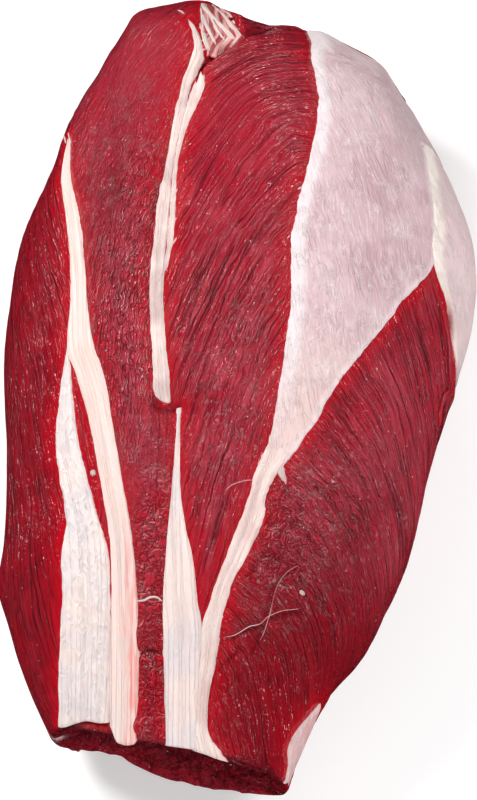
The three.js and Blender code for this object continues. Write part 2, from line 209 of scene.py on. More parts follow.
FAN = {
    "left": [(103.5, -9.6), (107, -10.8), (112.2, -12.2), (118.3, -12.7), (126.4, -13.0), (136, -12.4)],
    "right": [
        (103.5, -8.2), (107.2, -6.1), (110.7, -2.2), (114.3, 1.4), (117.5, -0.2), (125.4, -1.6),
        (136, -2.8),
    ],
}

# Creases of the meat as plan points, with their depth and width
CREASES = [
    ([(-14.5, 95.5), (-12.6, 98.5), (-9.6, 102.4), (-5.3, 107.2), (-2.2, 110.4), (1.9, 114.4),
      (6.4, 120.6), (10.4, 127)], 1.9, 1.3),
    ([(-2.6, 132), (-1.6, 124), (-0.9, 119.5), (1.4, 116)], 1.3, 1.2),
    ([(-30.7, -88.6), (-27.7, -87.6), (-23.7, -89.1), (-21.9, -88.3)], 0.9, 0.8),
    ([(-5.4, -85.6), (-1, -85), (3.4, -82.7), (6.5, -82), (9.2, -79.8), (13.1, -78.2), (19, -77.4)],
     0.6, 0.8),
    ([(4.1, -89.5), (6.2, -85.4), (8.3, -79.6), (10.6, -70.8), (13.8, -66.7), (18, -64.5)], 0.5, 0.8),
    ([(3.2, -68), (5.6, -63.2), (8.5, -61.7), (13, -62.6)], 0.6, 0.8),
    ([(-5.4, -94), (-3.6, -92), (-1.4, -90), (1.2, -88)], 0.5, 0.8),
    ([(-27, -14), (-24.8, -17.2), (-21.5, -17.9), (-18.6, -17.2)], 1.3, 1.0),
    ([(-24.6, 56), (-26.2, 47), (-27.6, 38)], 0.9, 0.8),
]
# Soft spots of the rolled-out skin, as (muscle, strength, across, length, wide, long)
LEFT_FLANK, UPPER_LEFT, MIDDLE, RIGHT_FLANK, CUT_FACE = range(len(MUSCLES))
SPOTS = {
    "crinkle": [(UPPER_LEFT, 1.4, -36, 22, 14, 58)],
    "wrinkle": [
        (UPPER_LEFT, 1.3, -26, -78, 9, 46), (RIGHT_FLANK, 0.9, 11, -54, 7, 20),
        (RIGHT_FLANK, 0.35, 24, -56, 12, 14),
    ],
    "dusky": [
        (UPPER_LEFT, 1.0, -36, -4, 14, 52), (UPPER_LEFT, 0.9, -26, -80, 12, 50),
        (MIDDLE, 0.55, 2, -12, 18, 40), (RIGHT_FLANK, 0.8, 45, -25, 40, 40),
    ],
    "deep": [(UPPER_LEFT, 0.5, -26, -100, 10, 26)],
    "rosy": [(UPPER_LEFT, 1.0, -32, 95, 30, 60), (MIDDLE, 0.6, 10, 84, 34, 34)],
    "lively": [
        (UPPER_LEFT, 1.0, -42, 62, 14, 26), (MIDDLE, 0.5, -2, -16, 14, 34),
        (RIGHT_FLANK, 0.9, 14, -60, 14, 20), (RIGHT_FLANK, 0.6, 36, -46, 24, 26),
        (RIGHT_FLANK, 0.3, -3, -104, 6, 16), (MIDDLE, 0.5, 22, 84, 12, 14),
    ],
}
# Pale spots of the cut face, as (x, z, wide, long, lean)
PALE_SPOTS = [(-57, 22, 3.2, 1.3, -20), (-1.5, 31, 1.2, 1.1), (8, 15, 4, 0.9, 8)]
# Fine threads as plan points, with their width; those under FINE_THREAD are dimmer
FINE_THREAD = 0.4
THREADS = [
    (0.7, [(-31, -73.4), (-28.5, -73.3), (-26.7, -72.6), (-24.6, -72.7), (-22.8, -74.2)]),
    (0.28, [(-4.2, -43), (-2, -41.1), (1, -39.9), (3.6, -39.2), (6.3, -39.5)]),
    (0.26, [(-5, -84.6), (-1, -84), (3.4, -81.7), (6.5, -81), (9.2, -78.8), (13.1, -77.2),
            (18.6, -76.2)]),
    (0.24, [(6.2, -86), (7.4, -84), (9.2, -79.1), (11.6, -70.4), (14.6, -66.1), (18.5, -63.7)]),
    (1.7, [(-44.4, -34.2), (-44.2, -36.4)]),
    (1.3, [(18.3, -71), (19.9, -72.3)]),
    (0.6, [(-20.6, 52), (-19.6, 52.6), (-18.8, 53.9)]),
    (0.6, [(-20.8, 42), (-19.8, 42.7), (-19.1, 43.9)]),
    (0.6, [(-20.6, 34.6), (-19.6, 35.6), (-18.9, 37)]),
    (0.7, [(-13.2, 90), (-12.4, 93), (-12.6, 96.6)]),
    (0.6, [(-12.4, 88), (-11.3, 91.5), (-11.0, 95.4)]),
    (0.6, [(-17.8, 123.5), (-18.9, 126.5), (-20.4, 128.4)]),
    (0.5, [(-13, 104), (-11.4, 105.6), (-9.6, 106.4)]),
    (0.5, [(-13.2, 108), (-11.6, 109.6), (-10, 112)]),
    (0.8, [(-56.4, 82), (-56.9, 85.5), (-57.6, 88)]),
    (0.6, [(-55.9, 80), (-55.5, 84.5), (-55.7, 87)]),
]
# Raw lips of meat beside the membrane, and the torn wedge beside the right arm
FLANK_LIPS = [
    (1.7, [(64.3, 21.0), (65.6, 15.8), (66.4, 10.6), (66.9, 5.6), (67.5, 1.2)]),
    (2.0, [(67.7, -0.6), (65.9, -2.4), (64.2, -6.0), (63.4, -9.6), (63.8, -12.6)]),
]
SPUR = [(11.4, -33.6), (12.9, -36.4), (13.9, -39.2), (14.1, -42)]
# Loose strands of the fan
FAN_THREADS = [
    (2.3, [(-12.0, 134.5), (-11.6, 130.8), (-10.0, 126.3), (-7.0, 121.5), (-4.2, 116.8),
           (-1.1, 112.4)]),
    (1.6, [(-8.9, 137), (-8.3, 134.5), (-4.9, 128.6), (-2.2, 119.6), (1.0, 114.4)]),
    (1.5, [(-12.2, 124.5), (-10.9, 117.9), (-9.3, 113.5), (-7.4, 108.9)]),
    (1.1, [(-10.3, 127.3), (-8.8, 121.5), (-6.7, 115.6), (-4.4, 111.6)]),
    (0.8, [(-6.9, 137), (-3.4, 131.6), (-1.2, 121.9)]),
    (2.0, [(-11.4, 113.5), (-10.9, 109.8), (-9.6, 105.6)]),
    (0.6, [(-12.6, 129), (-12.1, 121), (-11.6, 114)]),
]

# Broad sheets, as (along, turn) points, where turn 0 is the right flank and 0.25 the crown
SHARED_EDGE = [(0.718, 0.1125), (0.776, 0.118), (0.832, 0.1205), (0.87, 0.112), (0.9, 0.102)]
SHEET_LAP = 0.0025  # how far, in turns, the membrane laps over the silverskin
SILVERSKIN = {
    "left": [
        (0.335, 0.2105), (0.376, 0.2055), (0.425, 0.2018), (0.474, 0.2015), (0.549, 0.2037),
        (0.625, 0.2098), (0.679, 0.211), (0.765, 0.2087), (0.856, 0.2083), (0.89, 0.2093),
        (0.929, 0.206), (0.975, 0.204), (0.995, 0.2035),
    ],
    "right": [
        (0.335, 0.1965), (0.35, 0.1915), (0.412, 0.1716), (0.44, 0.1663), (0.503, 0.1515),
        (0.577, 0.1337), (0.619, 0.128), (0.678, 0.119), *SHARED_EDGE,
        (0.912, 0.0675), (0.921, 0.0), (0.933, -0.03), (0.96, -0.035), (0.995, -0.035),
    ],
}
MEMBRANE = {
    "left": [
        (0.6, 0.02), (0.612, 0.0373), (0.64, 0.0708), (0.683, 0.0947),
        *[(along, turn + SHEET_LAP) for along, turn in SHARED_EDGE], (0.91, 0.088), (0.93, 0.03),
    ],
    "right": [(0.6, 0.0), (0.63, -0.03), (0.7, -0.045), (0.85, -0.04), (0.93, -0.01)],
}
HOCK_MEMBRANE = {
    "left": [(0.0, 0.055), (0.025, 0.0653), (0.04, 0.082), (0.065, 0.078), (0.09, 0.056), (0.115, 0.03)],
    "right": [(0.0, -0.02), (0.05, -0.045), (0.115, -0.01)],
}


# Shape


def bend(points):
    """A smooth curve through (place, value) points, level beyond its ends."""
    xs, ys = np.array(points, float).T
    last = len(xs) - 1
    rank = np.arange(last + 1)
    before, after = np.maximum(rank - 1, 0), np.minimum(rank + 1, last)
    slope = (ys[after] - ys[before]) / (xs[after] - xs[before])

    def value(x):
        i = np.clip(np.searchsorted(xs, x) - 1, 0, last - 1)
        run = xs[i + 1] - xs[i]
        s = np.clip((x - xs[i]) / run, 0, 1)
        a = 1 - s
        rise = slope[i] * a * a * s - slope[i + 1] * a * s * s
        return ys[i] * a * a * (1 + 2 * s) + ys[i + 1] * s * s * (3 - 2 * s) + run * rise

    return value


def ease(x, low, high):
    """0 below low, 1 above high, and smooth between."""
    s = np.clip((x - low) / (high - low), 0, 1)
    return s * s * (3 - 2 * s)


def speckle(x, y, z=0.0):
    """Smooth noise from about -1 to 1 at many places at once."""
    x, y = np.broadcast_arrays(np.asarray(x, float), np.asarray(y, float))
    flat = [noise.noise((a, b, z)) for a, b in zip(x.ravel().tolist(), y.ravel().tolist())]
    return np.array(flat).reshape(x.shape) * 1.6


def run_of(path):
    """How far along a path each of its points lies."""
    return np.concatenate([[0], np.cumsum(np.linalg.norm(np.diff(path, axis=0), axis=1))])


def unit(vectors):
    """The vectors at length 1."""
    return vectors / np.maximum(np.linalg.norm(vectors, axis=-1, keepdims=True), 1e-9)


LEFT, RIGHT, RIM, CROWN, KEEL = (bend([(rib[0], rib[k]) for rib in RIBS]) for k in range(1, 6))
NEAR, FAR = bend(NEAR_END), bend(FAR_END)
SEAMS = [bend(points) for points in (LEFT_SEAM, MIDDLE_SEAM, RIGHT_SEAM)]
SWELL = [bend(points) for points in SWELLS]
HOLLOW = bend(CUT_HOLLOW)


def far_taper(along):
    """The share of its height that the section keeps, falling to 0 at the far end."""
    past = np.maximum(0, (along - 1 + FAR_ROUNDING) / FAR_ROUNDING)
    return np.sqrt(np.maximum(0, 1 - past**FAR_BLUNTNESS))


def muscle_at(x, y, along):
    """The number of the muscle at a place of the top, from the left, and its two edges there."""
    edges = [LEFT(along), *(seam(y) for seam in SEAMS), RIGHT(along)]
    edges = [np.broadcast_to(edge, np.shape(x)).copy() for edge in edges]
    for i in range(1, 5):
        edges[i] = np.maximum(edges[i], edges[i - 1] + 1)
    edges = np.array(edges)
    which = (x > edges[1:4]).sum(0)
    low, high = (np.take_along_axis(edges, which[None] + k, 0)[0] for k in (0, 1))
    return which, low, high


def relief(x, y, along):
    """Height of the muscles' swellings, of the seams and of the valley on the top."""
    which, low, high = muscle_at(x, y, along)
    share = 2 * (x - low) / (high - low) - 1
    height = np.choose(which, [swell(y) for swell in SWELL]) * np.maximum(0, 1 - share**2)
    for seam in SEAMS:
        height = height - SEAM_SINK * np.exp(-(((x - seam(y)) / SEAM_WIDTH) ** 2))
    vx, vy, width, length, depth = VALLEY
    hollow = ((x - vx) / width) ** 2 + (np.minimum(0, y - vy) / length) ** 2
    return (height - depth * np.exp(-hollow)) * far_taper(along)


def skin(along, turn):
    """Points of the skin, in plan millimetres."""
    along, turn = np.broadcast_arrays(np.asarray(along, float), np.asarray(turn, float))
    left, right, rim = LEFT(along), RIGHT(along), RIM(along)
    c, s = np.cos(2 * np.pi * turn), np.sin(2 * np.pi * turn)
    upper = s >= 0
    full = np.where(upper, TOP_FULLNESS, UNDER_FULLNESS)
    reach = (np.abs(c) ** full + np.abs(s) ** full) ** (-1 / full)
    x = (left + right) / 2 + (right - left) / 2 * c * reach
    y = NEAR(x) * (1 - along) + FAR(x) * along
    height = np.where(upper, CROWN(along) - rim, rim - KEEL(along)) * far_taper(along)
    z = rim + height * s * reach + np.where(upper, relief(x, y, along), 0)
    return np.stack([x, y, np.maximum(z, 0)], -1)


def place_of(x, y):
    """Along and turn of points of the top given in plan."""
    along = (y - NEAR(x)) / (FAR(x) - NEAR(x))
    left, right = LEFT(along), RIGHT(along)
    across = np.clip((2 * x - left - right) / (right - left), -1, 1)
    up = (1 - np.abs(across) ** TOP_FULLNESS) ** (1 / TOP_FULLNESS)
    return along, np.arctan2(up, across) / (2 * np.pi)


def outward(along, turn):
    """Unit vectors square to the skin."""
    step = 0.004
    forward = skin(np.minimum(along + step, 1), turn) - skin(along - step, turn)
    around = skin(along, turn + step) - skin(along, turn - step)
    return unit(np.cross(forward, around))


def even_stations(count):
    """Shares along the crown that lie evenly on the skin, from the lip to the far end."""
    fine = 1 - (1 - np.linspace(0, 1, 4000)) ** 2
    length = run_of(skin(fine, 0.25))
    return np.interp(np.linspace(0, length[-1], count), length, fine)


def even_turns(count):
    """Turns from the right to the left flank over the top that lie evenly on the skin."""
    fine = np.linspace(0, 0.5, 2000)
    length = run_of(skin(0.55, fine))
    return np.interp(np.linspace(0, length[-1], count), length, fine)


class Spread:
    """The skin rolled out flat: across runs to the right from x = 0 on the top, and length along +Y."""

    def __init__(self):
        self.along = np.concatenate([np.linspace(-0.08, -0.005, 12), even_stations(220)])
        self.turn = np.linspace(-0.25, 0.75, 401)
        points = skin(self.along[:, None], self.turn[None, :])
        around = np.cumsum(np.linalg.norm(np.diff(points, axis=1), axis=-1), axis=1)
        around = np.concatenate([np.zeros((len(self.along), 1)), around], 1)
        top = slice(100, 301)
        for row, ring in zip(around, points):
            row -= np.interp(0, ring[top, 0][::-1], row[top][::-1])
        self.across = -around
        steps = np.linalg.norm(np.diff(points[..., 1:], axis=0), axis=-1)
        lengthwise = np.concatenate([np.zeros((1, len(self.turn))), np.cumsum(steps, 0)])
        start = np.array([np.interp(0, points[:, j, 1], lengthwise[:, j]) for j in range(len(self.turn))])
        self.length = lengthwise - start

    def at(self, along, turn):
        """Across and length of places of the skin."""
        i = np.interp(along, self.along, np.arange(len(self.along)))
        j = np.interp(turn, self.turn, np.arange(len(self.turn)))
        return sampled(self.across, i, j), sampled(self.length, i, j)


def sampled(table, i, j):
    """Values of a table between its rows and columns."""
    i, j = np.clip(i, 0, table.shape[0] - 1.001), np.clip(j, 0, table.shape[1] - 1.001)
    a, b = i.astype(int), j.astype(int)
    u, v = i - a, j - b
    low = table[a, b] * (1 - v) + table[a, b + 1] * v
    high = table[a + 1, b] * (1 - v) + table[a + 1, b + 1] * v
    return low * (1 - u) + high * u


SPREAD = Spread()


# The tables of the fibres' run cover the rolled-out skin on squares of this many millimetres
FLOW_STEP = 2.0
FLOW_ACROSS = (-190, 192)
FLOW_LENGTH = (-150, 190)
FLOW_SPREAD = 60  # squared millimetres over which neighbouring angles blend
SEEN_ACROSS = 74  # beyond this the fibres keep the run they have here


def fibre_coordinates(points):
    """Tables of the distance across and along the fibres that run as the (x, y, angle) points say."""
    across, length = (np.arange(*ends, FLOW_STEP) for ends in (FLOW_ACROSS, FLOW_LENGTH))
    a, b = np.meshgrid(across, length, indexing="ij")
    run_x, run_y = fibre_run(points, np.clip(a, -SEEN_ACROSS, SEEN_ACROSS), b)
    return flattest(run_y, -run_x), flattest(run_x, run_y)


def fibre_run(points, x, y):
    """The unit direction of the fibres at places in plan."""
    sum_x, sum_y = 0.0 * x, 0.0 * y
    for px, py, angle in points:
        weight = 1 / ((x - px) ** 2 + (y - py) ** 2 + FLOW_SPREAD) ** 2
        sum_x = sum_x + weight * math.cos(math.radians(angle))
        sum_y = sum_y + weight * math.sin(math.radians(angle))
    size = np.hypot(sum_x, sum_y) + 1e-12
    return sum_x / size, sum_y / size


def flattest(gx, gy):
    """The table whose slopes come closest to gx and gy, on squares of FLOW_STEP."""
    sides = (gx[:-1] + gx[1:]) / 2, (gy[:, :-1] + gy[:, 1:]) / 2
    pull = np.zeros_like(gx)
    pull[:-1] -= sides[0]
    pull[1:] += sides[0]
    pull[:, :-1] -= sides[1]
    pull[:, 1:] += sides[1]
    n, m = pull.shape
    both = np.concatenate([pull, pull[::-1]])
    both = np.concatenate([both, both[:, ::-1]], 1)
    kx = 2 - 2 * np.cos(np.pi * np.arange(2 * n) / n)
    ky = 2 - 2 * np.cos(np.pi * np.arange(2 * m) / m)
    scale = kx[:, None] + ky[None, :]
    scale[0, 0] = 1
    waves = np.fft.fft2(both) / scale
    waves[0, 0] = 0
    return FLOW_STEP * np.real(np.fft.ifft2(waves))[:n, :m]


FLOW = {name: fibre_coordinates(points) for name, points in FIBRES.items()}


def fibres_at(name, across, length):
    """The distances across and along a muscle's fibres at places of the rolled-out skin."""
    i, j = (across - FLOW_ACROSS[0]) / FLOW_STEP, (length - FLOW_LENGTH[0]) / FLOW_STEP
    return tuple(sampled(table, i, j) for table in FLOW[name])


def outline(shape, over_skin, start, stop, count=90):
    """The closed outline of a band in rolled-out millimetres."""
    stations = np.linspace(start, stop, count)
    sides = [bend(shape["left"])(stations), bend(shape["right"])(stations)[::-1]]
    stations = np.concatenate([stations, stations[::-1]])
    edge = np.concatenate(sides)
    along, turn = (stations, edge) if over_skin else place_of(edge, stations)
    return np.stack(SPREAD.at(along, turn), -1)


def close_by(across, length, line, reach):
    """Which points lie within reach of a line's box, and those points."""
    low, high = line.min(0) - reach, line.max(0) + reach
    close = (across > low[0]) & (across < high[0]) & (length > low[1]) & (length < high[1])
    return close, np.stack([across[close], length[close]], -1)


def squared_gap(points, a, b):
    """The squared distance of points from the line between a and b."""
    side = b - a
    t = np.clip((points - a) @ side / max(side @ side, 1e-9), 0, 1)
    return ((points - a - t[:, None] * side) ** 2).sum(1)


def depth_inside(across, length, loop, reach=12.0):
    """How far inside a closed outline points lie, negative outside it, down to -reach."""
    found = np.full(across.shape, -reach)
    close, p = close_by(across, length, loop, reach)
    best, inside = np.full(len(p), 1e9), np.zeros(len(p), bool)
    for a, b in zip(loop, np.roll(loop, -1, 0)):
        side = b - a
        best = np.minimum(best, squared_gap(p, a, b))
        if a[1] != b[1]:
            crosses = (a[1] > p[:, 1]) != (b[1] > p[:, 1])
            inside ^= crosses & (p[:, 0] < a[0] + (p[:, 1] - a[1]) * side[0] / side[1])
    found[close] = np.sqrt(best) * np.where(inside, 1, -1)
    return found


def far_from(across, length, x, y, reach=6.0):
    """How far points lie from an open line through plan points of the top, up to reach."""
    line = np.stack(SPREAD.at(*place_of(np.array(x, float), np.array(y, float))), -1)
    found = np.full(across.shape, reach)
    close, p = close_by(across, length, line, reach)
    best = np.full(len(p), reach**2)
    for a, b in zip(line[:-1], line[1:]):
        best = np.minimum(best, squared_gap(p, a, b))
    found[close] = np.sqrt(best)
    return found


def blob(across, length, x, y, wide, long, lean=0.0):
    """A soft spot about a place, leaning by an angle in degrees."""
    c, s = math.cos(math.radians(lean)), math.sin(math.radians(lean))
    u, v = (across - x) * c + (length - y) * s, (length - y) * c - (across - x) * s
    return np.exp(-((u / wide) ** 2) - (v / long) ** 2)


def spots(name, across, length, which):
    """The soft spots of a mask, each on its own muscle."""
    return sum(strength * blob(across, length, *place) * (which == muscle)
               for muscle, strength, *place in SPOTS[name])


# The frame's place: the widest flank and the far end of the meat lie where its solid has them
_shape = skin(np.linspace(0, 1, 300)[:, None], np.linspace(0, 1, 300)[None, :])
_low, _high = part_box("lean_meat")
SHIFT = np.array([_low.x / MM - _shape[..., 0].min(), _high.y / MM - _shape[..., 1].max(), 0.0])


# Meshes

SAME_POINT = 2e-6


def placed(name, bm):
    """An object in the scene with the faces of a bmesh, which is freed."""
    mesh = bpy.data.meshes.new(name)
    bm.to_mesh(mesh)
    bm.free()
    piece = bpy.data.objects.new(name, mesh)
    bpy.context.scene.collection.objects.link(piece)
    return piece


def woven(name, points, uv, masks, close_far=False):
    """A closed tube from a grid of points in plan millimetres, whose first and last columns meet.

    uv maps a name to a list of (rows, columns, 2) tables and either None or a table that says for each
    face which of them it reads. masks maps a name to a (rows, columns) table. close_far fills the open
    far end.
    """
    rows, columns = points.shape[:2]
    bm = bmesh.new()
    bmesh.ops.create_grid(bm, x_segments=columns - 1, y_segments=rows - 1, size=1.0)
    bm.verts.ensure_lookup_table()
    place = np.array([v.co[:2] for v in bm.verts])
    col = np.rint((place[:, 0] + 1) / 2 * (columns - 1)).astype(int)
    row = np.rint((place[:, 1] + 1) / 2 * (rows - 1)).astype(int)
    for vert, co in zip(bm.verts, ((points[row, col] + SHIFT) * MM).tolist()):
        vert.co = co
    for mask, table in masks.items():
        layer = bm.verts.layers.float.new(mask)
        for vert, value in zip(bm.verts, table[row, col].tolist()):
            vert[layer] = value
    for map_name, (tables, labels) in uv.items():
        layer = bm.loops.layers.uv.new(map_name)
        values = [[tuple(value) for value in table[row, col].tolist()] for table in tables]
        for face in bm.faces:
            corners = [loop.vert.index for loop in face.loops]
            label = 0
            if labels is not None:
                label = labels[min(row[k] for k in corners), min(col[k] for k in corners)]
            for loop, k in zip(face.loops, corners):
                loop[layer].uv = values[label][k]
    bmesh.ops.remove_doubles(bm, verts=bm.verts, dist=SAME_POINT)
    if close_far:
        bmesh.ops.holes_fill(bm, edges=[e for e in bm.edges if e.is_boundary], sides=0)
    bmesh.ops.recalc_face_normals(bm, faces=bm.faces)
    for face in bm.faces:
        face.smooth = True
    return placed(name, bm)


def joined(name, parts):
    """One piece out of several woven parts."""
    bm = bmesh.new()
    for part in parts:
        piece = woven(name, *part)
        mesh = piece.data
        bm.from_mesh(mesh)
        bpy.data.objects.remove(piece)
        bpy.data.meshes.remove(mesh)
    return placed(name, bm)


def dressed(piece, material, slot, *nodes):
    """Gives a piece its material and its body, and hides the solids that it stands for. The slot is not
    used.
    """
    piece.data.materials.append(material)
    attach(piece, BODY)
    if nodes:
        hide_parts(*nodes)


# How far the edges of a strip reach over their solid's outline, how deep they are tucked into the
# meat, and over what width
EDGE_OVERLAP = 0.7
EDGE_TUCK = 0.6
TUCK_WIDTH = 1.2
SIDE_ROUNDING = 0.1  # how far the sides of a strip bulge
END_ROUNDING = 0.25  # how far its ends bulge, as a share of the last row
# The skin's length and girth, which turn shares of it into millimetres
SKIN_LENGTH = 250.0
SKIN_GIRTH = 2 * np.pi * 62


def strip(shape, start, stop, rows, columns, over, under, over_skin=False, fray=0.25, fray_size=4.0,
          start_edge=None, stop_edge=None, seed=0.0, masks=None):
    """The points of a closed band that lies in the skin, with its own map and masks.

    over and under give its height above and depth below the skin at (share across, share along, width,
    x, y). start_edge and stop_edge move its two ends by a share-across curve. masks maps a name to a
    function of x and y.
    """
    u = 0.5 - 0.5 * np.cos(np.linspace(0, np.pi, columns + 1))[None, :]
    v = np.linspace(0, 1, rows + 1)[:, None]
    station = start + (stop - start) * v + 0 * u
    if start_edge:
        station = station + bend(start_edge)(u) * (1 - v) ** 8
    if stop_edge:
        station = station + bend(stop_edge)(u) * v**8
    mm = station * (SKIN_LENGTH if over_skin else 1.0)
    a, b = bend(shape["left"])(station), bend(shape["right"])(station)
    pace = SKIN_GIRTH if over_skin else 1.0
    coarse, small = mm / fray_size, mm / fray_size * 3.1
    ragged = [fray * (speckle(coarse, 0 * mm + k, seed) + 0.5 * speckle(small, 0 * mm + k, seed))
              for k in (3.7, 9.1)]
    wider = EDGE_OVERLAP * (2 * u - 1) * (-1 if over_skin else 1)
    edge = a + (b - a) * u + (wider + ragged[0] * (1 - u) ** 3 + ragged[1] * u**3) / pace
    along, turn = (station, edge) if over_skin else place_of(edge, station)
    base, square = skin(along, turn), outward(along, turn)
    width = np.linalg.norm(base[:, -1] - base[:, 0], axis=-1)[:, None] + 0 * u
    from_edge = np.minimum(u, 1 - u) * width
    tuck = EDGE_TUCK * (1 - ease(from_edge, 0, TUCK_WIDTH))
    where = u + 0 * v, v + 0 * u, width, base[..., 0], base[..., 1]
    top = base + square * (over(*where) - tuck)[..., None]
    low = base - square * (under(*where) + tuck)[..., None]

    def edge_middle(k, other):
        middle = (top[:, k] + low[:, k]) / 2
        return middle + SIDE_ROUNDING * unit(base[:, k] - base[:, other])

    right_side, left_side = edge_middle(-1, -2)[:, None], edge_middle(0, 1)[:, None]
    ring = np.concatenate([top, right_side, low[:, ::-1], left_side, top[:, :1]], 1)
    across = np.concatenate([u[0], [1.0], u[0][::-1], [0.0], [0.0]])
    ends = []
    for k, inner in ((0, 1), (-1, -2)):
        middle = (top[k] + low[k]) / 2
        middle = middle + (base[k] - base[inner]) * END_ROUNDING
        ends.append(np.concatenate([middle, middle[-1:], middle[::-1], middle[:1], middle[:1]])[None])
    points = np.concatenate([ends[0], ring, ends[1]])
    lengthwise = np.concatenate([mm[:1, :1], mm[:, :1], mm[-1:, :1]]) + 0 * across[None, :]
    share = np.concatenate([v[:1], v, v[-1:]]) + 0 * across[None, :]
    wide = np.concatenate([width[:1, :1], width[:, :1], width[-1:, :1]])
    grain = np.stack([(across[None, :] - 0.5) * wide, lengthwise], -1)
    painted = {
        "across": across[None, :] + 0 * share, "share": share,
        "from_left": across[None, :] * wide, "to_right": (1 - across[None, :]) * wide,
    }
    for name, paint in (masks or {}).items():
        painted[name] = paint(points[..., 0], points[..., 1])
    return points, {"grain": ([grain], None)}, painted


def thread(points, wide, tall, lift, lift_at=None, pointed=0.0):
    """A thin cord that lies on the skin through plan points of the top, with its map.

    lift_at gives the meat's own height over the skin, and lift is added to it. pointed is the share of
    its width that the cord loses towards its last point.
    """
    path = np.array(points, float)
    reach = run_of(path)
    s = np.linspace(0, reach[-1], max(5, int(reach[-1] / 0.6)))
    x, y = (bend(list(zip(reach, path[:, k])))(s) for k in (0, 1))
    along, turn = place_of(x, y)
    base, square = skin(along, turn), outward(along, turn)
    side = unit(np.cross(square, np.gradient(base, axis=0)))
    share = s / reach[-1]
    taper = (np.sqrt(np.clip(1 - (2 * share - 1) ** 4, 0, 1)) * (1 - pointed * share))[:, None]
    angle = np.linspace(0, 2 * np.pi, 9)[None, :]
    ground = (lift_at(along, turn) if lift_at else 0 * s)[:, None] + lift
    height = ground + tall * (taper * np.sin(angle) - 0.4 * (1 - taper))
    sideways = wide / 2 * taper * np.cos(angle)
    shape = base[:, None] + side[:, None] * sideways[..., None] + square[:, None] * height[..., None]
    grain = np.stack([wide / 2 * np.cos(angle) + 0 * taper, s[:, None] + 0 * angle], -1)
    return shape, {"grain": ([grain], None)}, {}


# Meat


def tissue_outlines():
    """Outlines of the tissues on the rolled-out skin, with how deep each is set in the meat."""
    return [(outline(shape, over_skin, *span), depth) for shape, over_skin, span, depth in (
        (INNER_STRAP, False, (-117, 85), 1.5),
        (OUTER_STRAP, False, (-110, 6), 1.5),
        (LEFT_ARM, False, (-119, -16.5), 1.5),
        (RIGHT_ARM, False, (-120, -27), 1.5),
        (SEAM_STRAND, False, (-15.4, 121), 1.1),
        (SIDE_STRAND, False, (26, 96.5), 0.9),
        (FAN, False, (104, 135), 0.7),
        (SILVERSKIN, True, (0.338, 0.995), 0.9),
        (MEMBRANE, True, (0.606, 0.918), 0.9),
        (HOCK_MEMBRANE, True, (0.004, 0.112), 0.8),
    )]


def lean_of(turn):
    """How far the upper part of the cut face leans back, as a share of the length."""
    return CUT_LEAN * np.maximum(0, np.sin(2 * np.pi * turn))


